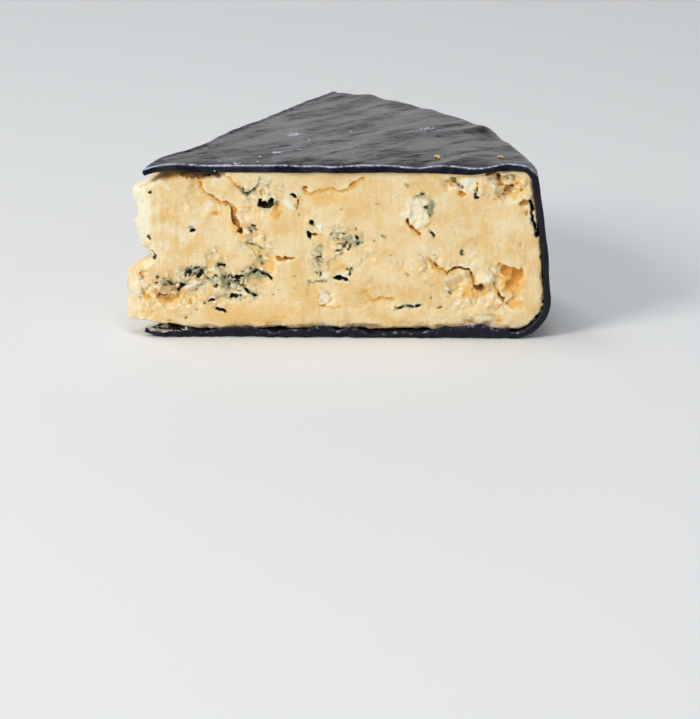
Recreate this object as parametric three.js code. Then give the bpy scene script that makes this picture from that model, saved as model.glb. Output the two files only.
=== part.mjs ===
// A wedge cut from a small wheel of blue-veined cheese, still in its coat of dark wax.
// Millimetres, +Z up. The wedge lies on its base with one cut face towards -Y, its point towards -X
// and its rim towards +X. The origin is under the middle of the part, on the surface it rests on.
// Both pieces are first laid out about the wheel's axis, where the two cut faces would meet.

import * as THREE from "three";

const { clamp, degToRad, lerp, mapLinear, smootherstep } = THREE.MathUtils;

// The wheel, measured outside its wax
const WHEEL_RADIUS = 95;
const WHEEL_HEIGHT = 42;
const WEDGE_ANGLE = degToRad(62);
const LOWER_ROUND = 9; // radius of the rim's lower corner
const UPPER_ROUND = 3.2; // radius of its upper corner
const RIM_LEAN = 3.2; // how much further in the rim is at the top than at the bottom

// The wax coat
const WAX_THICKNESS = 1.6;
const WAX_TIP = 1.2; // how far from the wheel's axis the wax sheets end
const OVERHANG = 1.0; // mean reach of the wax past a cut face
const OVERHANG_WAVE = 0.5;
const TIP_OVERHANG = 0.25; // share of that reach left at the wedge's point
const CUT_CLEARANCE = 0.3; // the wax starts to wave this far outside the cut face
const EDGE_WAVE_LENGTH = 9;
const TOP_EDGE_WAVE = 0.3;
const BASE_EDGE_CURL = 0.9; // mean height by which the base's cut edge curls up
const BASE_CURL_WAVE = 0.8;
// Where the front cut edge of the wax leaves its even line: distance from the axis, half width, lift
const TOP_EDGE_BENDS = [
  { at: 75, reach: 5, lift: -0.7 },
  { at: 84, reach: 5, lift: 0.8 },
];
const BASE_EDGE_BENDS = [
  { at: 34, reach: 7, lift: -0.9 },
  { at: 81, reach: 6, lift: 1.0 },
];

// The paste inside it
const PASTE_GAP = 0.3; // clearance between paste and wax
const PASTE_INSET = WAX_THICKNESS + PASTE_GAP;
const NOSE_FRONT = 6; // where the blunt nose leaves the front cut face
const NOSE_BACK = 17; // where it meets the back cut face
// How far the crumbled nose reaches past the wheel's axis, from the base up: height, reach
const NOSE_REACH = [
  [2, 2.4], [5, 4.6], [15.5, 4.6], [19.5, 0.2], [22, 0.8], [25, 1.9], [29.5, 2.6], [34.5, 3.0],
];
const NOSE_CHIP = { start: 12, length: 15, drop: 6, dropPower: 1.5, lift: 3, liftPower: 1.2 };
const CRUMB_RELIEF = 0.35; // low unevenness of the cut faces
const CRUMB_LENGTH = 5;
const RIM_FADE = 5; // the relief dies out over this distance from the rim

// Hollows torn in the front cut face: distance from the axis, height, width, tall, depth, tilt in degrees
const FRONT_HOLLOWS = [
  [27.6, 33.0, 6.0, 3.6, 4.2, 0],
  [20.5, 30.3, 3.6, 7.0, 3.0, 12],
  [38.5, 28.3, 3.2, 5.0, 2.6, 0],
  [62.3, 27.0, 3.0, 6.5, 2.2, 40],
  [81.5, 37.0, 12.0, 6.5, 3.0, 0],
  [74.0, 35.0, 4.0, 4.0, 2.2, 0],
  [48.8, 24.6, 7.0, 3.4, 2.2, 15],
  [45.8, 14.8, 6.0, 2.8, 3.6, 0],
  [32.3, 19.5, 7.5, 2.8, 2.6, 5],
  [11.8, 15.5, 7.5, 4.6, 3.0, 20],
  [4.5, 11.0, 8.0, 3.2, 3.0, 8],
  [22.0, 13.0, 7.5, 3.2, 2.6, -35],
  [16.7, 6.8, 4.5, 2.6, 2.4, -15],
  [85.8, 14.3, 8.5, 9.5, 3.6, 0],
  [78.0, 11.6, 5.0, 5.0, 3.0, 0],
  [70.5, 16.5, 12.0, 2.8, 2.2, -8],
  [61.3, 7.6, 5.5, 2.4, 2.0, 0],
  [41.3, 8.2, 4.0, 2.8, 1.6, 0],
];
const BACK_HOLLOWS = 18;
const BACK_SEED = 7;

// Grid sizes
const SHEET_STEPS = 26; // along the top or the base, from the axis to the rim
const UPPER_STEPS = 3;
const RIM_STEPS = 6;
const LOWER_STEPS = 5;
const TURN_STEPS = 12; // round the wheel, from one cut face to the other
const FACE_STEPS = 50; // along a cut face
const NOSE_STEPS = 5; // on each side of the nose
const PASTE_LEVELS = 22;

// The two corner rounds of the wheel's outline, and the tilt of the straight rim that touches both
const upperCentre = new THREE.Vector2(WHEEL_RADIUS - RIM_LEAN - UPPER_ROUND, WHEEL_HEIGHT - UPPER_ROUND);
const lowerCentre = new THREE.Vector2(WHEEL_RADIUS - LOWER_ROUND, LOWER_ROUND);
const centreRise = upperCentre.clone().sub(lowerCentre);
const RIM_TILT =
  Math.asin((LOWER_ROUND - UPPER_ROUND) / centreRise.length()) - Math.atan2(centreRise.x, centreRise.y);

// Directions in plan: along each cut face from the axis, and out of each face
const frontAlong = new THREE.Vector2(1, 0);
const frontOut = new THREE.Vector2(0, -1);
const backAlong = new THREE.Vector2(Math.cos(WEDGE_ANGLE), Math.sin(WEDGE_ANGLE));
const backOut = new THREE.Vector2(-backAlong.y, backAlong.x);
const middleAlong = frontAlong.clone().add(backAlong).normalize();

// A repeatable number from -1 to 1 for each lattice point, and smooth noise between those points
function latticeValue(i, j, seed) {
  const mixed = Math.sin(i * 127.1 + j * 311.7 + seed * 74.7) * 43758.5453;
  return 2 * (mixed - Math.floor(mixed)) - 1;
}

function noise(x, y, seed) {
  const i = Math.floor(x);
  const j = Math.floor(y);
  const across = smootherstep(x - i, 0, 1);
  const up = smootherstep(y - j, 0, 1);
  const low = lerp(latticeValue(i, j, seed), latticeValue(i + 1, j, seed), across);
  const high = lerp(latticeValue(i, j + 1, seed), latticeValue(i + 1, j + 1, seed), across);
  return lerp(low, high, up);
}

// A smooth curve through [position, value] pairs
function throughPairs(pairs, position) {
  const last = pairs.length - 1;
  if (position <= pairs[0][0]) return pairs[0][1];
  for (let i = 0; i < last; i++) {
    const [from, fromValue] = pairs[i];
    const [to, toValue] = pairs[i + 1];
    if (position < to) return lerp(fromValue, toValue, smootherstep(position, from, to));
  }
  return pairs[last][1];
}

function bendLift(bends, along) {
  return bends.reduce((sum, { at, reach, lift }) => sum + lift * Math.exp(-(((along - at) / reach) ** 2)), 0);
}

function pointOnRound(centre, radius, angle) {
  return new THREE.Vector2(centre.x + radius * Math.cos(angle), centre.y + radius * Math.sin(angle));
}

// The wheel's outline as (radius, height) points, moved in by inset: out along the top, round the upper
// corner, down the leaning rim, round the lower corner and back in along the base
function wheelOutline(inset) {
  const upper = UPPER_ROUND - inset;
  const lower = LOWER_ROUND - inset;
  const points = [];
  for (let i = 0; i < SHEET_STEPS; i++)
    points.push(new THREE.Vector2(lerp(WAX_TIP, upperCentre.x, i / SHEET_STEPS), WHEEL_HEIGHT - inset));
  for (let i = 0; i < UPPER_STEPS; i++)
    points.push(pointOnRound(upperCentre, upper, lerp(Math.PI / 2, RIM_TILT, i / UPPER_STEPS)));
  const rimTop = pointOnRound(upperCentre, upper, RIM_TILT);
  const rimFoot = pointOnRound(lowerCentre, lower, RIM_TILT);
  for (let i = 0; i < RIM_STEPS; i++) points.push(rimTop.clone().lerp(rimFoot, i / RIM_STEPS));
  for (let i = 0; i < LOWER_STEPS; i++)
    points.push(pointOnRound(lowerCentre, lower, lerp(RIM_TILT, -Math.PI / 2, i / LOWER_STEPS)));
  for (let i = 0; i <= SHEET_STEPS; i++)
    points.push(new THREE.Vector2(lerp(lowerCentre.x, WAX_TIP, i / SHEET_STEPS), inset));
  return points;
}

// Radius of the wheel at a height, moved in by inset
function rimRadius(z, inset) {
  const onRound = (centre, radius) => centre.x + Math.sqrt(Math.max(0, radius ** 2 - (z - centre.y) ** 2));
  const rimTop = pointOnRound(upperCentre, UPPER_ROUND - inset, RIM_TILT);
  const rimFoot = pointOnRound(lowerCentre, LOWER_ROUND - inset, RIM_TILT);
  if (z > rimTop.y) return onRound(upperCentre, UPPER_ROUND - inset);
  if (z < rimFoot.y) return onRound(lowerCentre, LOWER_ROUND - inset);
  return mapLinear(z, rimFoot.y, rimTop.y, rimFoot.x, rimTop.x);
}

function geometryFrom(points, triangles) {
  const geometry = new THREE.BufferGeometry().setFromPoints(points);
  geometry.setIndex(triangles);
  geometry.computeVertexNormals();
  return geometry;
}

// How far the cut edge of the wax reaches past the cut face, and how much it is lifted, at a station of the
// wheel's outline. The base only curls up, so that the part still rests on the flat underside, and both
// sheets lie flat over and under the nose.
function waxEdge(station, seed, bends) {
  const { x: along, y: height } = station;
  const trace = (along + height) / EDGE_WAVE_LENGTH;
  const fullReach = OVERHANG + OVERHANG_WAVE * noise(trace, 0, seed);
  const reach = fullReach * lerp(TIP_OVERHANG, 1, smootherstep(along, WAX_TIP, NOSE_FRONT));
  const wave = noise(trace, 4, seed + 1);
  const clearOfNose = smootherstep(along, NOSE_BACK, NOSE_BACK + EDGE_WAVE_LENGTH);
  if (height > WHEEL_HEIGHT / 2 && along < upperCentre.x)
    return { reach, lift: clearOfNose * (TOP_EDGE_WAVE * wave + bendLift(bends.top, along)) };
  if (height < WHEEL_HEIGHT / 2 && along < lowerCentre.x) {
    const curl = BASE_EDGE_CURL + BASE_CURL_WAVE * wave + bendLift(bends.base, along);
    return { reach, lift: clearOfNose * Math.max(0, curl) };
  }
  return { reach, lift: 0 };
}

// The wax: a sheet along the wheel's outline, swept from one cut face to the other, with its waving cut edges
// just outside the cut faces
function waxGeometry() {
  const outer = wheelOutline(0);
  const inner = wheelOutline(WAX_THICKNESS);
  const front = { top: TOP_EDGE_BENDS, base: BASE_EDGE_BENDS };
  const back = { top: [], base: [] };
  const columns = TURN_STEPS + 4; // two more outside each cut face
  const points = [];

  const place = (station, turn, out, reach, lift) => {
    const x = station.x * Math.cos(turn) + out.x * reach;
    const y = station.x * Math.sin(turn) + out.y * reach;
    points.push(new THREE.Vector3(x, y, station.y + lift));
  };
  for (const surface of [outer, inner])
    surface.forEach((station, k) => {
      const frontEdge = waxEdge(outer[k], 1, front);
      const backEdge = waxEdge(outer[k], 3, back);
      place(station, 0, frontOut, CUT_CLEARANCE + frontEdge.reach, frontEdge.lift);
      place(station, 0, frontOut, CUT_CLEARANCE, 0);
      for (let j = 1; j < columns - 2; j++)
        place(station, (WEDGE_ANGLE * j) / (columns - 2), frontOut, 0, 0);
      place(station, WEDGE_ANGLE, backOut, CUT_CLEARANCE, 0);
      place(station, WEDGE_ANGLE, backOut, CUT_CLEARANCE + backEdge.reach, backEdge.lift);
    });

  const across = columns + 1;
  const sheet = outer.length * across;
  const last = outer.length - 1;
  const triangles = [];
  const quad = (a, b, c, d) => triangles.push(a, b, c, a, c, d);
  for (let k = 0; k < last; k++)
    for (let j = 0; j < columns; j++) {
      const a = k * across + j;
      quad(a, a + across, a + across + 1, a + 1);
      quad(sheet + a, sheet + a + 1, sheet + a + across + 1, sheet + a + across);
    }
  for (let k = 0; k < last; k++) {
    const a = k * across;
    const b = a + columns;
    quad(a, sheet + a, sheet + a + across, a + across);
    quad(b, b + across, sheet + b + across, sheet + b);
  }
  for (let j = 0; j < columns; j++) {
    const b = last * across + j;
    quad(j, j + 1, sheet + j + 1, sheet + j);
    quad(b, sheet + b, sheet + b + 1, b + 1);
  }
  return geometryFrom(points, triangles);
}

// Depth of one hollow: full in the middle, with a steep uneven wall
function hollowDepth([at, height, width, tall, depth, tilt], along, z) {
  const turn = degToRad(tilt);
  const dx = along - at + 0.5 * noise(along / 2, z / 2, 11);
  const dz = z - height + 0.5 * noise(along / 2, z / 2, 12);
  const across = (dx * Math.cos(turn) + dz * Math.sin(turn)) / (width / 2);
  const up = (dz * Math.cos(turn) - dx * Math.sin(turn)) / (tall / 2);
  return depth * (1 - smootherstep(Math.hypot(across, up), 0.35, 1));
}

// Hollows of the back cut face, spread over it in even columns with a seeded jitter
function scatteredHollows(count, seed) {
  const hollows = [];
  for (let i = 0; i < count; i++) {
    const draw = (k) => latticeValue(i, k, seed);
    const at = lerp(NOSE_BACK, WHEEL_RADIUS - RIM_FADE, (i + 0.5 + 0.4 * draw(0)) / count);
    const height = WHEEL_HEIGHT * (0.5 + 0.38 * draw(1));
    hollows.push([at, height, 6 + 2.5 * draw(2), 3.6 + 1.2 * draw(3), 2.6 + 0.8 * draw(4), 40 * draw(5)]);
  }
  return hollows;
}

const backHollows = scatteredHollows(BACK_HOLLOWS, BACK_SEED);

// How deep a cut face lies under its plane: torn hollows in a low uneven surface, even at the rim
function reliefDepth(along, z, hollows, seed) {
  const uneven = CRUMB_RELIEF * (1 + noise(along / CRUMB_LENGTH, z / CRUMB_LENGTH, seed));
  const torn = Math.max(...hollows.map((hollow) => hollowDepth(hollow, along, z)));
  const fade = clamp((rimRadius(z, PASTE_INSET) - along) / RIM_FADE, 0, 1);
  return fade * (uneven + torn);
}

// The blunt nose of the paste in plan at a height
function noseCurve(z) {
  const reach = throughPairs(NOSE_REACH, z) + 0.4 * noise(z / 3, 0, 21);
  const foot = backAlong.clone().multiplyScalar(NOSE_BACK);
  const control = new THREE.Vector2(-2 * reach - (NOSE_FRONT + foot.x) / 2, 0);
  return new THREE.QuadraticBezierCurve(new THREE.Vector2(NOSE_FRONT, 0), control, foot);
}

// The paste's outline in plan at a height, against the clock from the tip of the nose: front face, rim, back face
function pasteOutline(z) {
  const radius = rimRadius(z, PASTE_INSET);
  const nose = noseCurve(z);
  const outline = [];
  for (let i = 0; i < NOSE_STEPS; i++) outline.push(nose.getPoint(0.5 - (0.5 * i) / NOSE_STEPS));
  for (let i = 0; i <= FACE_STEPS; i++) {
    const along = lerp(NOSE_FRONT, radius, i / FACE_STEPS);
    outline.push(new THREE.Vector2(along, reliefDepth(along, z, FRONT_HOLLOWS, 31)));
  }
  for (let i = 1; i < TURN_STEPS + 2; i++) {
    const turn = (WEDGE_ANGLE * i) / (TURN_STEPS + 2);
    outline.push(new THREE.Vector2(radius * Math.cos(turn), radius * Math.sin(turn)));
  }
  for (let i = 0; i <= FACE_STEPS; i++) {
    const along = lerp(radius, NOSE_BACK, i / FACE_STEPS);
    const depth = reliefDepth(along, z, backHollows, 41);
    outline.push(backAlong.clone().multiplyScalar(along).addScaledVector(backOut, -depth));
  }
  for (let i = 1; i < NOSE_STEPS; i++) outline.push(nose.getPoint(1 - (0.5 * i) / NOSE_STEPS));
  return outline;
}

// The paste: outlines stacked from the base wax to the top wax, with the nose's upper and lower edges broken off
function pasteGeometry() {
  const bottom = PASTE_INSET;
  const top = WHEEL_HEIGHT - PASTE_INSET;
  const points = [];
  let flat;
  for (let level = 0; level <= PASTE_LEVELS; level++) {
    flat = pasteOutline(lerp(bottom, top, level / PASTE_LEVELS));
    for (const p of flat) {
      const chip = clamp((NOSE_CHIP.start - p.dot(middleAlong)) / NOSE_CHIP.length, 0, 1);
      const low = bottom + NOSE_CHIP.lift * chip ** NOSE_CHIP.liftPower;
      const high = top - NOSE_CHIP.drop * chip ** NOSE_CHIP.dropPower;
      points.push(new THREE.Vector3(p.x, p.y, lerp(low, high, level / PASTE_LEVELS)));
    }
  }
  const around = flat.length;
  const triangles = [];
  for (let level = 0; level < PASTE_LEVELS; level++)
    for (let j = 0; j < around; j++) {
      const a = level * around + j;
      const b = level * around + ((j + 1) % around);
      triangles.push(a, b, b + around, a, b + around, a + around);
    }
  const under = THREE.ShapeUtils.triangulateShape(pasteOutline(bottom), []);
  const over = THREE.ShapeUtils.triangulateShape(flat, []);
  for (const [a, b, c] of under) triangles.push(a, c, b);
  const highest = PASTE_LEVELS * around;
  for (const [a, b, c] of over) triangles.push(highest + a, highest + b, highest + c);
  return geometryFrom(points, triangles);
}

function namedMesh(name, geometry, material) {
  const mesh = new THREE.Mesh(geometry, new THREE.MeshStandardMaterial(material));
  mesh.name = name;
  return mesh;
}

const wedge = new THREE.Group();
wedge.add(namedMesh("cheese_paste", pasteGeometry(), { color: 0xeacd94, roughness: 0.55, metalness: 0 }));
wedge.add(namedMesh("wax_coat", waxGeometry(), { color: 0x1e2030, roughness: 0.4, metalness: 0 }));

// The origin goes under the middle of the part
const box = new THREE.Box3().setFromObject(wedge);
const middle = box.getCenter(new THREE.Vector3());
wedge.position.set(-middle.x, -middle.y, -box.min.z);

const part = new THREE.Group();
part.add(wedge);

export default part;
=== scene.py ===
import math
from collections import namedtuple
from functools import lru_cache

import bpy
import numpy as np
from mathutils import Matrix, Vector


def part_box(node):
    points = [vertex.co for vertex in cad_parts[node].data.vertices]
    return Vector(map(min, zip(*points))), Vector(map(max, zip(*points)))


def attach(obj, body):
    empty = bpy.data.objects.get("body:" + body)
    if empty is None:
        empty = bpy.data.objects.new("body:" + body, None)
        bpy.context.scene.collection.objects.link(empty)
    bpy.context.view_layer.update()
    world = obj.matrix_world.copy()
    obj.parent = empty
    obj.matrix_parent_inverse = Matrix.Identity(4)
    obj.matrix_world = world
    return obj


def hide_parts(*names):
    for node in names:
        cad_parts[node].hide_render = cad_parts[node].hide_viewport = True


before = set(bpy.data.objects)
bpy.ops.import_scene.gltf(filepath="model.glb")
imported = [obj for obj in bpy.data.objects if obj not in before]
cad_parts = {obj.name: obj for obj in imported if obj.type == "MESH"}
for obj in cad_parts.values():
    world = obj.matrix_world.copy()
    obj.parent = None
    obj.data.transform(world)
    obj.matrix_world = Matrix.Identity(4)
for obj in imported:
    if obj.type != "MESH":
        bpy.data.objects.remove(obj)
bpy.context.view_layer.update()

# Driving sizes of the wheel and its wax, as in the solids
WHEEL_RADIUS = 95.0
WHEEL_HEIGHT = 42.0
WEDGE_ANGLE = math.radians(62)
LOWER_ROUND = 9.0
UPPER_ROUND = 3.2
RIM_LEAN = 3.2
WAX = 1.6
PASTE_INSET = 1.55  # the paste reaches a little into the wax
RIM_BULGE, BULGE_FOOT = 0.85, 2.0  # how far the rim swells past the straight line, from a height up

# The wheel's axis in the frame, from the boxes of the two solids
MM = 0.001
wax_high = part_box("wax_coat")[1]
paste_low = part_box("cheese_paste")[0]
AXIS = np.array([wax_high.x / MM - WHEEL_RADIUS, paste_low.y / MM, 0.0])

SIN = math.sin(WEDGE_ANGLE)
COS = math.cos(WEDGE_ANGLE)
FRONT_OUT = np.array([0.0, -1.0])
BACK_OUT = np.array([-SIN, COS])
MIDDLE = np.array([math.cos(WEDGE_ANGLE / 2), math.sin(WEDGE_ANGLE / 2)])

# The two corner rounds of the wheel's outline and the tilt of the straight rim that touches both
UPPER_CENTRE = np.array([WHEEL_RADIUS - RIM_LEAN - UPPER_ROUND, WHEEL_HEIGHT - UPPER_ROUND])
LOWER_CENTRE = np.array([WHEEL_RADIUS - LOWER_ROUND, LOWER_ROUND])
CENTRE_RISE = UPPER_CENTRE - LOWER_CENTRE
RIM_TILT = math.asin((LOWER_ROUND - UPPER_ROUND) / np.hypot(*CENTRE_RISE)) - math.atan2(*CENTRE_RISE)

# The crumbled nose of the paste starts at these distances along the front and the back face, and it reaches
# so far past the wheel's axis at each height
NOSE_FRONT = 6.0
NOSE_BACK = 17.0
NOSE_HEIGHTS = [2, 4, 7, 15.5, 17, 18.3, 19.7, 21.1, 22.6, 24, 27, 29.8, 32, 34.5, 36, 37.2, 40]
NOSE_REACHES = [3.0, 5.0, 4.9, 4.9, 4.1, 1.5, -0.1, 1.4, 1.5, 2.2, 2.9, 3.5, 3.0, 4.2, 3.6, 1.0, -0.6]
# Towards its tip the nose is chipped away from the wax of the top and the base
CHIP_START, CHIP_LENGTH = 12.0, 15.0
CHIP_DROP, CHIP_LIFT = 6.0, 2.0
# The worn upper edge of the front face beside the nose
BEVEL_START, BEVEL_END = 2.0, 19.0
BEVEL_RISE, BEVEL_FALL = 8, 4
BEVEL_DROP, BEVEL_DEPTH = 2.0, 2.5

# The paste's mesh
VOXEL = 0.27
COARSE_VOXEL = 0.6  # across the wedge, away from the front face
FRONT_SLAB = 7.0  # depth of the finely divided part behind the front face
NOSE_ROOM, FACE_ROOM, BASE_ROOM = 8, 1.5, 0.6  # where the grid starts, past the axis, the front and the floor
FILLED = 0.03  # the field at a corner that is filled to close a pinch
PASTE_TRIANGLES = 190000
THIN_START, THIN_END = 5, 9  # depths under a cut face between which the mesh gets coarser
BACK_THINNING = 0.25
THIN_LEVELS, THIN_FACTOR = 8, 8
TUCK_START, TUCK_END = 3, 6  # depths under a cut face between which hidden paste is tucked under the wax
TUCK_MOST = 3
HIDDEN_DEPTH = 0.3  # how far the paste stays inside its smooth form where wax hides it
SMOOTHINGS = 12  # rounds of smoothing that show what lies in a hollow
EVEN_EDGE = 0.3  # length of an edge where the mesh is as fine as on the front face

# The relief of the cut faces
RELIEF_REACH = 5.5  # how deep under a cut face the relief is worked out
WAXED_BLEND = 0.45  # how softly a cut face runs into the ragged edge beside the wax
BACK_SLANT = 0.35  # how far marks of the back face shift along it past its plane
CUT_DEPTH = 0.25  # mean depth of a cut face under its plane
CURD, CRUMB = 3.4, 1.5  # sizes of the curds and crumbs that fall out where a face is torn
CURD_DEPTH, CRUMB_DEPTH = 1.1, 0.6
VALLEY_DEPTH, SEAM_DEPTH = 0.45, 0.3  # between curds and between crumbs
VEIN_DEPTH, KNIFE_DEPTH = 0.7, 0.1
TORN_MEAN, TORN_WAVE, TORN_BASE = 0.1, 0.25, 0.45  # how torn a face is anywhere, and along the base
EDGE_LOSS, EDGE_FADE = 0.12, 2.5  # what has come off along the wax, and how far behind the front face
BASE_GAP, BASE_GAP_WAVE = 0.6, 0.5
GRAIN = 0.9  # size of the bits that the outlines of torn places follow
PIT_PULL = 0.5  # how far outlines follow them
ROUTE_PULL = 0.3

# Marks of a cut face. Places are the distance from the wheel's axis and the height; wide and tall are half
# sizes; lean moves a hollow up as it goes in. A tint is mould, bloom (pale mould), orange, brown or pale.
# Orange is mostly painted warm shade in hollows, slits and under steps; brown is a brown stain and partly
# painted shadow in crevices; pale is pale curd and partly painted light.
Pit = namedtuple("Pit", "stain along height wide tall deep tilt lean", defaults=(0, 0))
Crack = namedtuple("Crack", "route half_width deep stain lean", defaults=(0,))
Scarp = namedtuple("Scarp", "route drop fade")
Patch = namedtuple("Patch", "stain along height wide tall strength tilt", defaults=(0,))
Lump = namedtuple("Lump", "along height wide tall rise tilt", defaults=(0,))
Torn = namedtuple("Torn", "along height wide tall share")
Marks = namedtuple("Marks", "pits cracks scarps patches lumps torn seed")


def tinted(kind, stain, *rows):
    """Marks of one kind and tint, from rows of their other values"""
    return [kind(stain, *row) for row in rows]


FRONT_PITS = [
    # The black hole near the top and the holes to its right
    *tinted(Pit, "mould", (27.2, 32.1, 1.0, 0.7, 4.0, 15, 0.2), (28.5, 31.8, 1.1, 0.85, 4.0, -10, 0.2),
             (29.7, 32.5, 0.7, 1.1, 4.0, -15, 0.2), (35.2, 34.0, 0.7, 0.45, 1.8, -40),
             (35.9, 31.4, 0.3, 0.45, 1.2), (36.4, 29.8, 0.35, 0.3, 1.0), (39.2, 27.7, 0.65, 0.6, 2.6, -40),
             (38.8, 24.8, 0.4, 0.75, 2.4, 10)),
    *tinted(Pit, "orange", (31.4, 31.2, 1.3, 1.0, 0.9, -40), (37.7, 35.8, 0.7, 0.7, 1.5, 0, 0.3)),
    *tinted(Pit, "brown", (36.2, 32.9, 0.5, 0.9, 1.8, -10), (40.4, 25.1, 0.8, 0.3, 1.2, -10),
             (46.1, 31.1, 0.4, 0.3, 0.9)),
    # The torn brown groove under the flake, and specks beside it
    *tinted(Pit, "orange", (21.0, 30.4, 0.8, 1.9, 1.5, 14), (21.6, 28.2, 0.8, 1.6, 1.5, 20),
             (23.7, 31.2, 1.0, 0.4, 1.0, 0, 0.4)),
    *tinted(Pit, "brown", (22.4, 25.6, 0.7, 0.8, 1.8, 20)),
    *tinted(Pit, "mould", (25.7, 26.8, 0.4, 0.7, 1.4, 30), (26.9, 19.5, 0.25, 0.8, 1.2, -10),
             (27.2, 17.6, 0.25, 0.6, 1.2, 10), (27.8, 21.4, 0.35, 0.3, 1.2)),
    # The crumbled corner by the rim
    *tinted(Pit, "brown", (72.1, 38.2, 0.6, 0.5, 1.8, -40), (82.8, 38.8, 0.6, 1.5, 2.8, 25),
             (80.9, 39.7, 1.8, 0.4, 1.3, 8), (84.7, 36.0, 0.7, 0.8, 1.4, -20), (85.2, 34.5, 0.3, 0.4, 1.6),
             (87.8, 35.7, 0.4, 0.6, 1.8, -20)),
    *tinted(Pit, "orange", (74.4, 34.7, 1.1, 0.7, 1.5, -35, 0.4), (86.7, 34.2, 0.7, 0.5, 1.0),
             (88.9, 32.9, 1.1, 0.8, 0.9, -30), (89.7, 30.3, 0.5, 0.8, 0.8), (88.0, 22.6, 0.5, 0.6, 0.9)),
    *tinted(Pit, "mould", (77.6, 35.2, 0.4, 1.1, 1.8), (77.9, 34.2, 0.7, 0.4, 1.6),
             (79.5, 35.0, 0.4, 0.4, 0.8), (86.0, 36.4, 0.6, 0.45, 2.2, 20),
             (83.9, 34.6, 0.5, 0.6, 2.2, 30)),
    # Mould holes in the middle
    *tinted(Pit, "mould", (49.7, 24.5, 0.6, 0.45, 1.8, -20), (50.1, 22.9, 0.5, 0.6, 1.6),
             (47.9, 21.6, 0.5, 0.4, 1.2, 30), (45.2, 21.1, 0.9, 0.4, 1.4, 10),
             (53.6, 23.4, 0.35, 0.35, 1.2), (55.6, 24.3, 0.55, 0.35, 1.4, -25),
             (45.6, 14.3, 1.1, 0.5, 3.4, 5), (47.1, 14.1, 1.0, 0.5, 3.4, -8)),
    *tinted(Pit, "orange", (43.6, 20.8, 0.7, 0.35, 1.2), (46.2, 20.2, 0.6, 0.35, 1.2),
             (32.8, 19.0, 2.7, 0.6, 2.8, 3, 0.4), (29.3, 16.8, 1.1, 1.9, 1.0, 0, 0.2),
             (35.0, 14.8, 0.7, 0.3, 1.2), (41.9, 7.7, 1.0, 0.45, 1.4, -10, 0.4),
             (57.9, 19.6, 0.6, 0.3, 0.8), (64.3, 19.9, 0.5, 0.3, 0.8), (68.3, 19.9, 0.5, 0.3, 0.8)),
    # The mould cluster low on the left
    *tinted(Pit, "mould", (12.6, 14.8, 1.0, 0.42, 3.2, 35), (9.6, 14.8, 0.5, 0.25, 0.8, 15),
             (15.0, 14.2, 1.0, 0.4, 2.0, -30), (17.3, 13.6, 0.35, 0.3, 1.0),
             (17.9, 17.3, 1.3, 0.65, 2.4, -5), (8.3, 12.0, 1.4, 0.6, 3.0, 40), (2.8, 14.4, 0.35, 0.4, 0.9),
             (4.0, 13.9, 0.5, 0.35, 1.2, 30), (5.6, 13.1, 0.45, 0.4, 1.2, -20),
             (6.9, 12.6, 0.6, 0.35, 1.4, 40), (3.4, 13.3, 0.3, 0.3, 0.9), (4.7, 12.4, 0.6, 0.3, 1.0, -25),
             (15.3, 8.7, 1.7, 0.5, 1.8, 25), (17.6, 6.3, 1.4, 0.5, 2.4, -20),
             (21.8, 14.3, 2.0, 0.5, 3.0, 8), (20.6, 9.6, 1.0, 0.55, 2.2, 20)),
    *tinted(Pit, "brown", (6.6, 11.6, 0.6, 0.3, 1.0, -15), (10.3, 8.6, 0.7, 0.45, 1.0, -30),
             (5.6, 3.9, 0.5, 0.3, 0.8), (9.6, 4.6, 0.5, 0.3, 0.8, 20)),
    *tinted(Pit, "orange", (11.8, 6.9, 0.4, 0.3, 0.8)),
    # Specks by the nose
    *tinted(Pit, "mould", (1.3, 35.1, 0.45, 0.35, 1.2), (0.8, 23.6, 0.5, 0.5, 1.5, 20),
             (1.8, 19.7, 0.4, 0.8, 1.6, 35), (-3.0, 14.1, 0.4, 0.4, 1.2), (11.1, 25.8, 0.6, 0.4, 1.5, 15)),
    # The clean torn hollows low on the right
    *tinted(Pit, "orange", (84.8, 15.8, 1.8, 1.4, 2.0, -25, 0.5), (87.4, 15.0, 1.7, 1.9, 2.4, 10, 0.5),
             (86.2, 12.6, 1.9, 2.0, 1.6, 0, 0.5), (79.2, 10.8, 1.5, 1.2, 1.4, -15, 0.4),
             (75.1, 10.4, 0.8, 1.5, 1.5, -10, 0.3), (87.0, 8.3, 2.0, 0.8, 1.0, 8, 0.4)),
    *tinted(Pit, "brown", (78.2, 11.9, 1.4, 0.85, 2.6, 10, 0.4), (83.5, 4.1, 0.6, 0.8, 1.0)),
    *tinted(Pit, "mould", (74.3, 20.8, 0.45, 0.4, 1.0, -30), (69.0, 7.4, 0.8, 0.3, 1.2, 25),
             (71.1, 11.0, 0.4, 0.3, 0.8, 40), (67.4, 10.0, 0.5, 0.3, 0.8, 30)),
    # Dimples of the white lump
    *tinted(Pit, "brown", (65.8, 31.8, 0.5, 0.5, 1.0)),
    *tinted(Pit, "orange", (66.6, 29.8, 0.5, 0.7, 1.0)),
]
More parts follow.
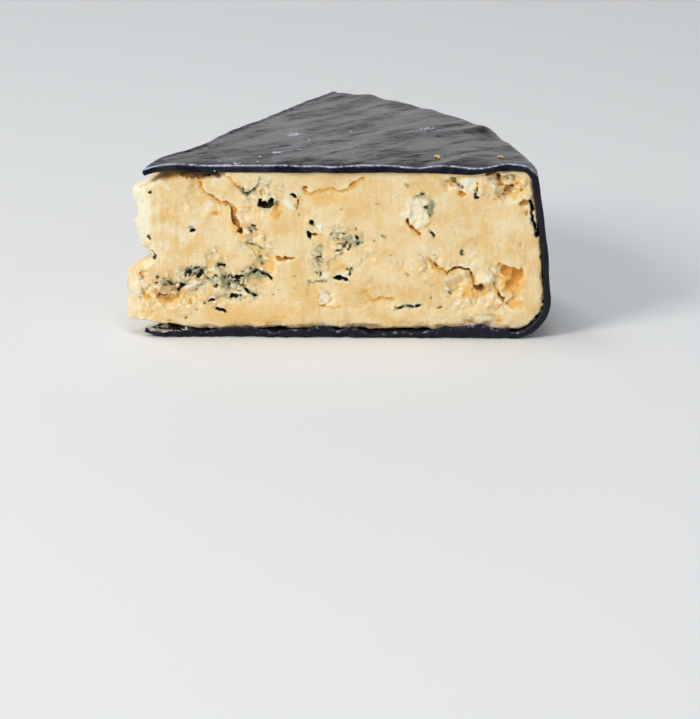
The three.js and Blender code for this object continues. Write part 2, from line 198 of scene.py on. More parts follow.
FRONT_CRACKS = [
    # The half ring under the wax, and the fine dark line below it
    Crack([(18.7, 39.3), (19.6, 38.2), (21.2, 36.3), (23.0, 35.1)], 0.22, 2.0, "brown", 0.3),
    Crack([(23.0, 35.1), (24.3, 34.9), (25.7, 35.5)], 0.34, 2.4, "mould", 0.3),
    Crack([(25.7, 35.5), (26.5, 36.6), (26.9, 38.5)], 0.13, 1.6, "mould", 0.3),
    Crack([(24.4, 22.4), (25.8, 22.0), (27.7, 21.4)], 0.2, 1.5, "mould"),
    Crack([(20.2, 32.2), (20.5, 30.2), (21.0, 28.2), (22.2, 26.0)], 0.22, 2.4, "brown"),
    # The mould cluster low on the left
    Crack([(2.5, 9.8), (4.2, 9.5), (5.6, 9.3), (7.3, 9.8), (8.0, 10.7)], 0.6, 3.8, "brown", 0.4),
    Crack([(24.8, 15.5), (26.5, 16.1), (28.2, 15.5), (29.9, 14.6)], 0.36, 2.6, "mould"),
    Crack([(23.2, 11.7), (24.2, 10.8), (25.6, 9.8)], 0.5, 3.0, "mould"),
    # Low in the middle and on the right
    Crack([(59.5, 6.8), (61.0, 7.5), (63.6, 7.3), (65.1, 8.1)], 0.28, 2.0, "mould"),
    Crack([(38.7, 13.2), (40.6, 13.6), (42.5, 13.5)], 0.2, 1.2, "mould"),
    Crack([(29.9, 5.1), (32.0, 4.9), (33.9, 5.1)], 0.15, 0.8, "orange"),
    Crack([(42.9, 7.6), (44.2, 7.4), (45.6, 7.7)], 0.16, 0.9, "orange"),
    Crack([(66.1, 18.7), (68.2, 17.1), (69.9, 16.7), (70.8, 15.5)], 0.32, 2.4, "brown", 0.3),
    Crack([(70.8, 15.5), (71.6, 16.1), (73.5, 16.8), (76.0, 16.3), (76.6, 15.2)], 0.36, 2.4, "brown", 0.3),
    Crack([(76.4, 15.1), (76.8, 14.3), (76.9, 12.4)], 0.36, 1.8, "brown"),
    Crack([(81.8, 12.7), (82.8, 11.2), (83.2, 10.4), (84.2, 9.1)], 0.36, 2.2, "brown", 0.3),
    # Round the white lump, in the corner by the rim, and the slits beside the rim
    Crack([(61.5, 28.6), (62.5, 26.4), (64.3, 24.8)], 0.5, 2.2, "orange", 0.3),
    Crack([(66.8, 26.2), (67.9, 25.2)], 0.32, 1.8, "mould"),
    Crack([(72.4, 37.9), (73.2, 37.1), (74.2, 36.6)], 0.26, 1.6, "mould"),
    Crack([(82.9, 37.8), (84.0, 36.9), (85.6, 36.5), (87.0, 37.4)], 0.26, 2.0, "brown"),
    Crack([(82.2, 33.9), (83.7, 34.2), (86.0, 35.2), (86.2, 36.2)], 0.24, 1.8, "brown"),
    Crack([(77.6, 37.6), (77.8, 36.0), (77.6, 34.4)], 0.2, 1.6, "brown", 0.2),
    Crack([(90.5, 33.2), (90.8, 30.5), (91.3, 27.5), (91.7, 24.8)], 0.4, 3.2, "mould"),
    Crack([(92.9, 5.9), (91.8, 4.4), (90.3, 3.1)], 0.28, 2.6, "mould"),
]
# The surface steps down on the right of a scarp's route and rises again as it leaves it
FRONT_SCARPS = [
    Scarp([(12.9, 38.1), (13.4, 36.3), (14.4, 34.9), (16.7, 32.9), (18.0, 32.4), (20.0, 32.2)], 1.1, 3.0),
    Scarp([(37.7, 35.0), (39.2, 34.4), (40.9, 35.4), (43.2, 36.1), (46.2, 35.6), (51.2, 38.2)], 0.4, 5.0),
    Scarp([(51.6, 11.2), (53.3, 9.3), (56.1, 9.5), (58.3, 8.8)], 0.6, 2.5),
    Scarp([(82.8, 17.7), (84.2, 17.3), (85.5, 16.2), (87.2, 15.7), (88.2, 16.8)], 0.5, 2.5),
]
# Tinted places, each tint's from the nose to the rim; those that are painted light or shade are noted below
FRONT_PATCHES = [
    # Pale patches; the first two, on the nose, are painted light where the nose faces the window lamp
    *tinted(Patch, "pale", (-2.6, 9.0, 2.4, 8, 0.7), (-1.5, 30.0, 3.0, 9, 1.0),
             (0.5, 37.5, 6.0, 1.6, 0.7, 20), (0.5, 19.0, 1.6, 2.4, 0.7, -30), (4.0, 27.0, 13, 11, 0.38),
             (11.6, 12.4, 3.0, 1.2, 1.0), (14.6, 31.8, 1.1, 1.1, 0.7), (17.1, 19.4, 1.1, 1.6, 0.7, -20),
             (22.0, 10.4, 1.4, 0.9, 1.0), (29.0, 36.2, 5.0, 2.6, 0.55), (33.9, 32.5, 1.9, 0.9, 1.1, -35),
             (41.2, 26.6, 1.7, 1.1, 1.1), (42.4, 9.8, 1.6, 1.5, 1.0), (42.4, 15.2, 1.6, 1.2, 0.9),
             (48.6, 24.6, 0.5, 0.5, 1.0), (52.9, 10.5, 0.8, 0.8, 0.8), (58.2, 38.3, 0.5, 0.5, 1.0),
             (63.6, 30.2, 3.2, 4.8, 1.0, -15), (67.2, 22.0, 3.4, 2.3, 0.5), (75.8, 37.4, 2.0, 1.6, 0.9),
             (79.6, 14.2, 2.4, 1.7, 0.9), (80.0, 4.4, 3.4, 1.2, 0.55)),
    *tinted(Patch, "bloom", (0.6, 23.9, 0.9, 1.6, 0.8, 20), (4.6, 13.4, 2.4, 1.6, 0.75),
             (9.4, 14.2, 2.2, 1.3, 0.5, 15), (10.9, 26.2, 1.1, 0.7, 0.8, -15),
             (12.4, 16.2, 3.0, 1.5, 1.0, 15), (14.0, 12.5, 12.0, 4.0, 0.4), (15.2, 8.9, 1.8, 0.8, 0.7, 25),
             (19.0, 13.0, 4.0, 2.2, 0.8, -15), (22.4, 9.6, 1.4, 0.6, 0.9, 15), (25.0, 14.8, 2.8, 2.6, 0.9),
             (25.6, 26.0, 0.9, 1.6, 0.8, 15), (26.8, 18.6, 0.7, 2.0, 0.5), (27.8, 23.8, 0.6, 1.8, 0.7),
             (28.5, 36.2, 4.6, 2.2, 0.36), (30.7, 11.1, 0.5, 1.2, 0.8, -30), (32.3, 35.4, 0.4, 0.4, 0.9),
             (40.3, 21.6, 1.3, 0.4, 0.9, 40), (40.4, 18.4, 1.5, 4.2, 0.72, 6), (47.4, 25.2, 4.0, 2.4, 0.55),
             (48.2, 16.0, 1.0, 1.0, 0.8), (48.6, 23.6, 3.4, 1.8, 0.7, 10), (54.7, 32.6, 1.0, 0.3, 1.0),
             (61.3, 15.3, 0.5, 0.8, 0.6, 30), (61.4, 37.1, 0.6, 0.5, 0.9), (62.6, 33.2, 1.8, 0.8, 0.5, 40),
             (65.6, 34.4, 1.8, 0.6, 0.6, -20), (66.0, 13.0, 2.2, 0.3, 0.8, -5), (66.8, 31.4, 1.1, 2.8, 0.8),
             (72.1, 25.6, 0.8, 0.2, 0.8, 10), (80.6, 38.6, 3.0, 0.8, 0.3), (85.4, 39.0, 1.4, 0.9, 0.5)),
    # Brown patches; the first, the band under the top's wax beside the nose, is partly painted shadow under
    # the wax's overhang
    *tinted(Patch, "brown", (13.2, 39.3, 5.6, 0.9, 1.1), (21.3, 29.2, 0.8, 2.4, 0.5, 14),
             (31.2, 32.4, 0.9, 0.8, 0.8), (80.6, 38.4, 2.6, 1.4, 0.35), (84.8, 35.8, 1.0, 1.0, 0.8),
             (89.0, 32.9, 1.2, 1.0, 0.6, -30)),
    # Orange patches: mostly painted warm shade, in hollows, under flakes and steps and low on the face
    *tinted(Patch, "orange", (-1.2, 15.0, 0.3, 1.4, 0.9), (0.0, 10.0, 0.9, 0.8, 0.9),
             (4.6, 8.6, 2.2, 0.7, 0.9), (7.4, 27.0, 0.25, 8.0, 0.5), (16.4, 30.3, 1.1, 0.7, 1.0),
             (22.0, 26.4, 1.4, 2.6, 0.7, 20), (26.0, 5.2, 16.0, 3.4, 0.34),
             (31.0, 30.0, 1.4, 2.0, 0.7, -20), (35.2, 11.7, 0.7, 0.5, 0.7), (43.5, 33.4, 6.0, 1.8, 0.45, 3),
             (77.6, 11.4, 3.2, 2.2, 0.6), (85.8, 21.0, 0.9, 0.4, 0.6), (86.2, 13.4, 3.0, 3.6, 0.8),
             (87.0, 8.2, 2.2, 1.2, 0.7)),
    *tinted(Patch, "mould", (15.0, 39.3, 3.2, 0.5, 0.6)),
]
# Lumps that stand proud of the face
FRONT_LUMPS = [
    Lump(80.1, 36.8, 2.6, 2.5, 0.5), Lump(63.8, 30.2, 3.2, 4.6, 0.35, -15), Lump(79.6, 14.2, 2.2, 1.5, 0.6),
    Lump(11.6, 12.4, 2.6, 1.1, 0.4), Lump(8.6, 7.4, 3.2, 2.0, 0.4), Lump(87.8, 37.2, 1.4, 1.6, 0.4),
]
# Where the face is torn rather than cut smooth: place, half sizes and how much falls out
FRONT_TORN = [
    Torn(14, 12.5, 16, 5, 1.0), Torn(5, 8, 8, 5, 0.5), Torn(24, 33, 8, 5, 0.6), Torn(26, 21, 7, 7, 0.7),
    Torn(46, 20, 10, 5, 0.5), Torn(50, 9, 25, 4, 0.25), Torn(80, 4.2, 5, 2, 0.9), Torn(80, 11, 9, 6, 0.9),
    Torn(84, 36.5, 6, 3.5, 1.0), Torn(-3, 21, 4, 24, 0.9), Torn(64.3, 29.8, 3.6, 5, 0.9),
    Torn(74, 37, 5, 2.5, 0.6), Torn(70, 17, 7, 3, 0.5), Torn(35, 31, 5, 4, 0.6), Torn(12, 39.5, 8, 1.2, 1.0),
    Torn(41.4, 26.6, 2.4, 1.6, 0.9), Torn(42.4, 9.6, 2.0, 2.0, 0.9), Torn(16.5, 19, 3, 3, 0.8),
]
# Notches beside the wax of the rim: their heights, and their half sizes and depth
RIM_NOTCHES = [36.4, 22.6, 19.6, 15.0, 13.4, 9.2, 7.2]
RIM_NOTCH = (0.45, 0.7, 1.6)
# The narrow slit under a scarp: half width, depth past the scarp's drop, and lean
SLIT, SLIT_DEPTH, SLIT_LEAN = 0.34, 1.0, 0.4
FRONT_SEED = 5
# The back face, which isn't seen, has its marks in clusters along it
NOSE_TORN = Torn(2, 21, 9, 30, 1.0)
# Painted light: pale where the nose faces the window lamp
NOSE_PAINTED_LIGHT = [Patch("pale", 4, 30, 8, 10, 0.95), Patch("pale", 4, 9, 8, 9, 0.6)]
BACK_HOLLOW = Pit("orange", 70.0, 12.0, 3.4, 3.0, 2.6, 0, 0.7)
BACK_SEED = 23
BACK_CLUSTERS = 18
BACK_START, BACK_SPAN = 12, 76
CLUSTER_PITS = 5

# The wax sheet's mesh: rows along the wheel's outline, and places across it from one cut edge to the other
SHEET_ROWS = 160
UPPER_ROWS = 6
RIM_ROWS = 40
LOWER_ROWS = 10
OUTER_COLUMNS = 96
INNER_COLUMNS = 40
EDGE_COLUMNS = np.array([0, 0.3, 0.6, 1.0, 1.5, 2.0])  # close columns behind a cut edge
NARROW = 9  # a strip of wax narrower than this has smaller lips and closer columns
LIP_STEPS, CUT_STEPS = 5, 3

# The wax's cut edges, which wave, curl and are bitten. A bend moves an edge within its reach of a place.
OVERHANG = 0.55
TIP_OVERHANG = 0.25
LIP_ROUND = 0.5
RIM_LIP_ROUND = 0.45
INNER_LIP_ROUND = 0.35
WAVY_TOP, WAVY_BASE = 14, 5  # the edges wave in full this far from the wedge's point
SWAY_REACH, BITE_REACH, CURL_REACH, TOP_WAVE_REACH = 2.2, 7, 1.2, 3.5  # how far in from an edge these reach
NICK, BASE_NICK = 0.16, 0.45
BASE_TRACE = 200  # keeps the base's noise apart from the top's
Bend = namedtuple("Bend", "at reach lift")
TOP_EDGE_BENDS = [Bend(75, 5, -0.4), Bend(84.5, 5, 0.7)]
TOP_EDGE_SAG = 0.45
TIP_SAG, TIP_SAG_LENGTH = 1.3, 9.0
BASE_EDGE_BENDS = [Bend(33, 6, -0.8), Bend(80, 5, 1.3), Bend(60, 9, 0.4)]
BACK_EDGE_BENDS = [Bend(16, 8, -1.0), Bend(24, 9, -2.4), Bend(54, 14, -1.0), Bend(92, 9, -1.3)]
RIM_BUMPS = [Bend(54.5, 2.2, 0.55), Bend(26, 2.0, 0.4), Bend(22, 2.4, -0.45), Bend(14, 9, -1.1)]  # by angle
RIM_BUMPS_START = 78
WRINKLE_WAY = (math.cos(math.radians(52)), math.sin(math.radians(52)))
# The flap of base under the nose turns up at the point, thins to a share there and has cheese left on it
FLAP_CURL, FLAP_LENGTH = 0.9, 9.0
FLAP_TIP = 0.4
BARE_FLAP, BARE_FADE = 16, 6  # length of its bare part, and of that part's soft end
WAX_WAVES = [(0.16, 17, 91), (0.18, 6.5, 92), (0.06, 2.8, 93)]  # size, wavelength and seed

# The part of the top that is painted paler towards a middle point, and its chipped places: a point and how
# far it reaches
PALER_MIDDLE_PLACE, PALER_MIDDLE_REACH = (38, 22), 62
SCUFFS = [((34, 31), 4.8), ((30.6, 12), 3.2), ((66.5, 37), 4.2), ((21.7, 1.8), 2.6), ((51.3, 25.6), 1.4),
          ((36, 15), 1.4), ((75, 10.5), 1.6), ((48.3, 11.6), 1.3), ((80, 27), 1.8)]

# Crumbs: the two tan ones on the top by place and size, and the numbers of white ones
TAN_CRUMBS = [(68.6, 8.6, 0.9), (83.5, 9.0, 0.75)]
TAN_LUMPS = 3
EDGE_CRUMBS, TOP_CRUMBS, FLAP_CRUMBS = 7, 7, 10
CRUMB_SEED, CRUMB_SHAPE_SEED = 12, 13
CRUMB_LEAST, CRUMB_MOST = (0.7, 0.45, 0.3), (1.3, 0.9, 0.7)  # shares of its size that a crumb measures
CRUMB_DENT, CRUMB_SWELL = 0.75, 1.25  # how far in or out its corners are pushed
CRUMB_RISE = 0.2  # share of its size that a crumb's middle lies over the wax
CRUMB_REACH = 0.9  # how far round a crumb the wax's height is looked for
WHITE_PALE, TAN_STAIN = 1.4, 0.4  # strengths of the stains that colour the white and the tan crumbs
TOP_HEIGHTS, FLAP_HEIGHTS = (30, WHEEL_HEIGHT + 3), (0.5, 6)  # between which the wax under a crumb lies

# Colours as a display shows them, from 0 to 255
CREAM, LIGHT_CREAM, WHITE_CREAM = (240, 206, 142), (249, 228, 182), (252, 238, 204)
GOLD_LINE, GOLD_GRAIN = (236, 196, 122), (232, 190, 114)
# White curd, which also paints light on the nose and highlights on ridges; the ambers mostly paint warm
# shade, and brown partly paints shadow
WHITE_CURD_AND_PAINTED_LIGHT, AMBER, DEEP_AMBER, BROWN = (253, 246, 222), (244, 194, 100), (220, 148, 44), (124, 74, 38)
MOULD_HAZE, MOULD = (116, 127, 97), (32, 38, 28)
# Wax: the cut colour also paints the shade behind the top's front lip, and the top's grey, streaks, wrinkles
# and dust are partly painted sheen
BLACK_WAX, BLUE_WAX, CUT_AND_SHADE_WAX, GREY_WAX = (8, 9, 16), (14, 15, 22), (16, 19, 34), (48, 48, 52)
STREAK, WRINKLE, DUST_AND_SHEEN, SPECK = (78, 78, 80), (76, 76, 79), (92, 92, 92), (150, 150, 156)
# Scrapes and chips, and the colour of the painted highlight along the lips
SCRAPED, CHIP, LIP_HIGHLIGHT = (18, 17, 36), (212, 212, 232), (188, 191, 224)
SOIL, FLAKE = (84, 68, 50), (230, 226, 222)
PALE_FLOOR = (239, 241, 242)

# The studio: a floor, soft lights of a size in metres that look at one place, and a pale sky
FLOOR_HALF = 3000.0
LIGHT_AIM = (45, 30, 20)
Light = namedtuple("Light", "name place size watts colour")
LIGHTS = [
    Light("window", (-860, -800, 780), (0.5, 0.5), 11.5, (1.0, 0.97, 0.93)),
    Light("fill", (760, -820, 520), (1.0, 1.0), 1.8, (1.0, 0.96, 0.9)),
    Light("overhead_strip", (-60, -40, 720), (1.0, 0.1), 2.2, (0.95, 0.97, 1.0)),
    Light("back_panel", (60, 1300, 380), (2.6, 0.5), 3.5, (0.97, 0.98, 1.0)),
]
SKY_COLOUR, SKY_STRENGTH = (0.93, 0.96, 1.0, 1), 0.22

# The photograph's camera, from a fit of the wedge's outline in a frame of 700 by 719 pixels
FRAME_LONG_SIDE = 719
FOCAL_PIXELS = 3800
CAMERA_PITCH = math.radians(16.355)
CAMERA_YAW = math.radians(1.035)
CAMERA_PLACE = np.array([63.73, -862.81, 247.81])
CAMERA_NEAR, CAMERA_FAR = 0.01, 20  # metres between which it sees


def smooth(value, low, high):
    t = np.clip((value - low) / (high - low), 0, 1)
    return t * t * (3 - 2 * t)


def hump(value, reach):
    """1 at 0, fading within a reach to both sides"""
    return np.exp(-((value / reach) ** 2))


def soft_min(a, b, reach):
    h = np.clip(0.5 + 0.5 * (b - a) / reach, 0, 1)
    return b + (a - b) * h - reach * h * (1 - h)


# Smooth noise from -1 to 1 at points of any number, from a seeded lattice that repeats far away
LATTICE = 64


@lru_cache(maxsize=None)
def lattice(seed):
    return np.random.default_rng(seed).uniform(-1, 1, (LATTICE,) * 3).astype(np.float32)


def noise(x, y, z, wavelength, seed):
    table = lattice(seed)
    weights, cells = [], []
    for value in (x, y, z):
        scaled = np.asarray(value, np.float32) / wavelength
        cell = np.floor(scaled)
        part = scaled - cell
        weights.append(part * part * (3 - 2 * part))
        cells.append(cell.astype(np.int32) % LATTICE)
    total = 0
    for corner in np.ndindex(2, 2, 2):
        weight = 1
        for side, w in zip(corner, weights):
            weight = weight * (w if side else 1 - w)
        i, j, k = ((c + side) % LATTICE for c, side in zip(cells, corner))
        total = total + weight * table[i, j, k]
    return total


def flat_noise(along, height, wavelength, seed):
    return noise(along, height, 0 * along, wavelength, seed)


def rim_radius(z, inset):
    upper, lower = UPPER_ROUND - inset, LOWER_ROUND - inset
    top = UPPER_CENTRE + upper * np.array([math.cos(RIM_TILT), math.sin(RIM_TILT)])
    foot = LOWER_CENTRE + lower * np.array([math.cos(RIM_TILT), math.sin(RIM_TILT)])
    straight = foot[0] + (z - foot[1]) * (top[0] - foot[0]) / (top[1] - foot[1])
    over = UPPER_CENTRE[0] + np.sqrt(np.maximum(0, upper**2 - (z - UPPER_CENTRE[1]) ** 2))
    under = LOWER_CENTRE[0] + np.sqrt(np.maximum(0, lower**2 - (z - LOWER_CENTRE[1]) ** 2))
    return np.where(z > top[1], over, np.where(z < foot[1], under, straight))


def rim_bulge(z):
    return RIM_BULGE * np.sin(math.pi * np.clip((z - BULGE_FOOT) / (WHEEL_HEIGHT - BULGE_FOOT), 0, 1))


# Marks on a cut face

def across_spot(spot, along, height):
    """Place in a spot's own tilted axes, in half sizes"""
    turn = math.radians(spot.tilt)
    du, dv = along - spot.along, height - spot.height
    a = (du * math.cos(turn) + dv * math.sin(turn)) / spot.wide
    b = (dv * math.cos(turn) - du * math.sin(turn)) / spot.tall
    return a, b


def spot_reach(spot, along, height):
    """0 in the middle of a spot and 1 on its outline"""
    return np.hypot(*across_spot(spot, along, height))


SAME_DISTANCE = 1e-3  # closer than this, the leg that a point lies more to one side of counts


def route_distance(route, along, height):
    """Distance to a route, the side of it (positive on the right) and how far past its ends a point lies"""
    best = np.full(along.shape, np.inf, np.float32)
    side = np.zeros_like(best)
    past = np.zeros_like(best)
    for (u0, v0), (u1, v1) in zip(route, route[1:]):
        du, dv = u1 - u0, v1 - v0
        length = math.hypot(du, dv)
        run = ((along - u0) * du + (height - v0) * dv) / length
        held = np.clip(run, 0, length)
        away = np.hypot(along - u0 - held * du / length, height - v0 - held * dv / length)
        over = ((along - u0) * dv - (height - v0) * du) / length
        nearer = away < best + SAME_DISTANCE * np.sign(np.abs(over) - np.abs(side))
        best = np.where(nearer, away, best)
        side = np.where(nearer, over, side)
        past = np.where(nearer, np.abs(run - held), past)
    return best, side, past


def near_spot(spot, along, height, reach):
    size = max(spot.wide, spot.tall) * reach
    return np.nonzero((np.abs(along - spot.along) < size) & (np.abs(height - spot.height) < size))[0]


def near_route(route, along, height, reach):
    low, high = np.min(route, 0) - reach, np.max(route, 0) + reach
    inside = (along > low[0]) & (along < high[0]) & (height > low[1]) & (height < high[1])
    return np.nonzero(inside)[0]


def scattered_marks(seed):
    """Marks of the unseen cut face: clusters of pits, cracks and tints like the front's, and the painted
    light on the nose
    """
    draw = np.random.default_rng(seed)
    pits, cracks, scarps, lumps = [], [], [], []
    # The back face's marks start with the painted light on the nose
    patches = list(NOSE_PAINTED_LIGHT)
    torn = [NOSE_TORN]
    for number in range(BACK_CLUSTERS):
        u = BACK_START + (number + draw.uniform(0.2, 0.8)) * BACK_SPAN / BACK_CLUSTERS
        v = draw.uniform(6, 37)
        stain = draw.choice(["mould", "mould", "orange", "brown"])
        torn.append(Torn(u, v, 7, 6, draw.uniform(0.4, 0.9)))
        wide, tall = draw.uniform(2, 4), draw.uniform(1.2, 2.4)
        patches.append(Patch("bloom", u, v, wide, tall, 0.7, draw.uniform(-30, 30)))
        near_u, near_v = u + draw.uniform(-4, 4), v + draw.uniform(-3, 3)
        patches.append(Patch("pale", near_u, near_v, 2.0, 1.6, 0.9))
        lumps.append(Lump(near_u, near_v, 1.8, 1.4, 0.4))
        for _ in range(CLUSTER_PITS):
            du, dv = draw.normal(0, 3.2), draw.normal(0, 2.4)
            wide, tall = draw.uniform(0.4, 1.5), draw.uniform(0.35, 0.7)
            pits.append(Pit(stain, u + du, v + dv, wide, tall, draw.uniform(1.2, 3), draw.uniform(-35, 35)))
        if number % 3 == 0:
            turns = draw.uniform(-1.2, 1.2, 4)
            route = [(u + 2.2 * i - 4, v + 4 + turn) for i, turn in enumerate(turns)]
            cracks.append(Crack(route, 0.32, 1.8, draw.choice(["orange", "mould"]), 0.3))
        if number % 4 == 1:
            turns = draw.uniform(-1.0, 1.0, 5)
            scarps.append(Scarp([(u + 3 * i - 7, v + 3 + turn) for i, turn in enumerate(turns)], 0.7, 4.0))
    pits.append(BACK_HOLLOW)
    return Marks(pits, cracks, scarps, patches, lumps, torn, seed)


def rim_notches():
    """Small dark notches where the paste has come away from the wax of the rim"""
    heights = np.array(RIM_NOTCHES)
    along = rim_radius(heights, WAX) + rim_bulge(heights)
    return [Pit("mould", u, v, *RIM_NOTCH) for u, v in zip(along, heights)]


FRONT = Marks(FRONT_PITS + rim_notches(), FRONT_CRACKS, FRONT_SCARPS, FRONT_PATCHES, FRONT_LUMPS, FRONT_TORN,
              FRONT_SEED)
BACK = scattered_marks(BACK_SEED)


# The paste

def nose_edge(y, z):
    """Where the nose, or past it the back cut face, stands at a distance from the front face"""
    foot_x, foot_y = NOSE_BACK * COS, NOSE_BACK * SIN
    t = np.sqrt(np.clip(y / foot_y, 0, 1))
    control = -2 * np.interp(z, NOSE_HEIGHTS, NOSE_REACHES) - (NOSE_FRONT + foot_x) / 2
    curve = (1 - t) ** 2 * NOSE_FRONT + 2 * t * (1 - t) * control + t * t * foot_x
    return np.where(y < foot_y, curve, y * COS / SIN)


def wedge_distances(x, y, z):
    """Depth under the cut faces (front, back) and under the faces that the wax covers"""
    front = y
    back = (x - nose_edge(y, z)) * SIN
    chip = np.clip((CHIP_START - (x * MIDDLE[0] + y * MIDDLE[1])) / CHIP_LENGTH, 0, 1)
    beside_front = np.clip(1 - y / BEVEL_DEPTH, 0, 1)
    along_edge = smooth(x, BEVEL_START, BEVEL_START + BEVEL_RISE) * smooth(BEVEL_END - x, 0, BEVEL_FALL)
    worn = along_edge * beside_front
    top = WHEEL_HEIGHT - PASTE_INSET - CHIP_DROP * chip**1.5 - BEVEL_DROP * worn - z
    base = z - PASTE_INSET - CHIP_LIFT * chip
    rim = rim_radius(z, PASTE_INSET) + rim_bulge(z) - np.hypot(x, y)
    return front, back, np.minimum(np.minimum(top, base), rim)


def granules(along, height, size, seed):
    """Curds as cells of a size: for each point its curd's middle and random share, and the gap to the next"""
    jitter = np.random.default_rng(seed).uniform(0, 1, (LATTICE, LATTICE, 3)).astype(np.float32)
    u, v = along / size, height / size
    i, j = np.floor(u).astype(np.int32), np.floor(v).astype(np.int32)
    nearest = np.full(u.shape, 9, np.float32)
    second = np.full(u.shape, 9, np.float32)
    middle_u, middle_v, own = (np.zeros(u.shape, np.float32) for _ in range(3))
    for di, dj in np.ndindex(3, 3):
        ci, cj = i + di - 1, j + dj - 1
        cell = jitter[ci % LATTICE, cj % LATTICE]
        cu, cv = ci + cell[:, 0], cj + cell[:, 1]
        away = np.hypot(u - cu, v - cv)
        nearer = away < nearest
        second = np.where(nearer, nearest, np.minimum(second, away))
        nearest = np.where(nearer, away, nearest)
        middle_u = np.where(nearer, cu, middle_u)
        middle_v = np.where(nearer, cv, middle_v)
        own = np.where(nearer, cell[:, 2], own)
    return middle_u * size, middle_v * size, own, (second - nearest) * size


def shifted(along, height, layers, seed_step):
    """Places moved about by noises of a size, a wavelength and a seed, a step higher for the height"""
    u, v = along, height
    for size, wavelength, seed in layers:
        u = u + size * flat_noise(along, height, wavelength, seed)
        v = v + size * flat_noise(along, height, wavelength, seed + seed_step)
    return u, v


def bent(along, height, seed):
    """Places bent a little, so that the curds get curved and uneven sides"""
    return shifted(along, height, [(0.9, 4.0, seed), (0.3, 1.1, seed + 1)], 2)


def torn_share(marks, along, height):
    """0 where the face is cut smooth and 1 where everything that is loose has fallen out"""
    share = TORN_MEAN + TORN_WAVE * flat_noise(along, height, 9, marks.seed + 1)
    for torn in marks.torn:
        reach = np.hypot((along - torn.along) / torn.wide, (height - torn.height) / torn.tall)
        share = np.maximum(share, torn.share * smooth(1.35 - reach, 0, 0.8))
    share = np.maximum(share, TORN_BASE * smooth(5 - height, 0, 2.5))
    return np.clip(share, 0, 1)


def fallen(marks, along, height):
    """How much of each curd and crumb has fallen out, the valleys between them, and how torn the face is"""
    seed = marks.seed
    torn = torn_share(marks, along, height)
    u, v = bent(along, height, seed + 20)
    _, _, curd, curd_gap = granules(u, v, CURD, seed + 30)
    _, _, crumb, crumb_gap = granules(u, v, CRUMB, seed + 31)
    patchy = 0.35 * flat_noise(along, height, 6, seed + 32)
    curd_loss = np.maximum(0, curd + patchy - (1.1 - torn))
    crumb_loss = np.maximum(0, crumb + patchy - (1.1 - torn))
    opened = smooth(flat_noise(along, height, 3.2, seed + 33), -0.15, 0.5)
    valley = opened * (1 - smooth(curd_gap, 0, 1.3))
    seam = opened * (1 - smooth(crumb_gap, 0, 0.6))
    return curd_loss, crumb_loss, valley, seam, torn


def veins(marks, along, height, valley, seam):
    """Strength of the mould flecks that grow in a stained patch, more of them in its crevices"""
    strength = np.zeros(along.shape, np.float32)
    u, v = bent(along, height, marks.seed + 42)
    chance = 0.75 * flat_noise(u, v, 1.3, marks.seed + 40) + 0.5 * flat_noise(u, v, 0.6, marks.seed + 43)
    grown = smooth(0.4 * np.maximum(valley, seam) + chance, 0.46, 0.8)
    for patch in marks.patches:
        if patch.stain == "bloom":
            near = near_spot(patch, along, height, 1.6)
            share = patch.strength * smooth(1.4 - spot_reach(patch, along[near], height[near]), 0, 0.6)
            strength[near] = np.maximum(strength[near], share * grown[near])
    return strength


def knife_lines(marks, along, height):
    """Fine upright lines of the cut where the face is smooth, near the nose and near the rim"""
    where = smooth(14 - along, 0, 6) + 0.6 * smooth(along, 74, 80)
    return KNIFE_DEPTH * where * smooth(height, 17, 20) * flat_noise(along, height / 14, 0.9, marks.seed + 41)


def face_drop(marks, along, height, depth):
    """How far a cut face lies under its plane: waves of the cut, fallen curds and crumbs, lumps and scarps"""
    seed = marks.seed
    curd_loss, crumb_loss, valley, seam, torn = fallen(marks, along, height)
    drop = CUT_DEPTH + 0.16 * noise(along, height, depth, 13, seed + 2)
    drop = drop + 0.07 * noise(along, height, depth, 5, seed + 3)
    drop = drop + CURD_DEPTH * curd_loss + CRUMB_DEPTH * crumb_loss
    drop = drop + torn * (VALLEY_DEPTH * valley + SEAM_DEPTH * seam)
    drop = drop + (0.02 + 0.12 * torn) * noise(along, height, depth, 0.8, seed + 6)
    drop = drop + knife_lines(marks, along, height) + VEIN_DEPTH * veins(marks, along, height, valley, seam)
    u, v = ragged(marks, along, height, PIT_PULL)
    for lump in marks.lumps:
        near = near_spot(lump, u, v, 1.5)
        drop[near] -= lump.rise * smooth(1.2 - spot_reach(lump, u[near], v[near]), 0, 0.5)
    for scarp in marks.scarps:
        near = near_route(scarp.route, along, height, 3 * scarp.fade)
        u, v = ragged(marks, along[near], height[near], ROUTE_PULL)
        away, side, past = route_distance(scarp.route, u, v)
        step = smooth(np.sign(side) * away, -0.1, 0.2) * np.exp(-away / scarp.fade) * np.exp(-past / 0.8)
        drop[near] += scarp.drop * step
    return drop


def ragged(marks, along, height, pull):
    """Places drawn towards the middles of small crumbs, so that what is torn has crumbly outlines"""
    seed = marks.seed
    u, v = shifted(along, height, [(0.4, 2.0, seed + 8), (0.2, 0.8, seed + 11)], 1)
    middle_u, middle_v, _, _ = granules(u, v, GRAIN, seed + 10)
    return u + pull * (middle_u - u), v + pull * (middle_v - v)


def pit_reach(pit, u, v, depth):
    a, b = across_spot(pit, u, v - pit.lean * np.maximum(depth, 0))
    return np.sqrt(a * a + b * b + (np.maximum(depth, 0) / pit.deep) ** 2)


def crack_gap(crack, u, v, depth):
    """Half width of a crack at a depth, less the distance from its middle"""
    away, _, _ = route_distance(crack.route, u, v - crack.lean * np.maximum(depth, 0))
    uneven = 0.8 + 0.6 * flat_noise(u, v, 1.3, 63)
    return crack.half_width * uneven * (1 - np.maximum(depth, 0) / crack.deep) - away


def all_cracks(marks):
    """The cracks of a face, and the slits under its scarps, which run in behind the part that stands proud"""
    slits = [Crack(scarp.route, SLIT, scarp.drop + SLIT_DEPTH, "orange", SLIT_LEAN) for scarp in marks.scarps]
    return marks.cracks + slits


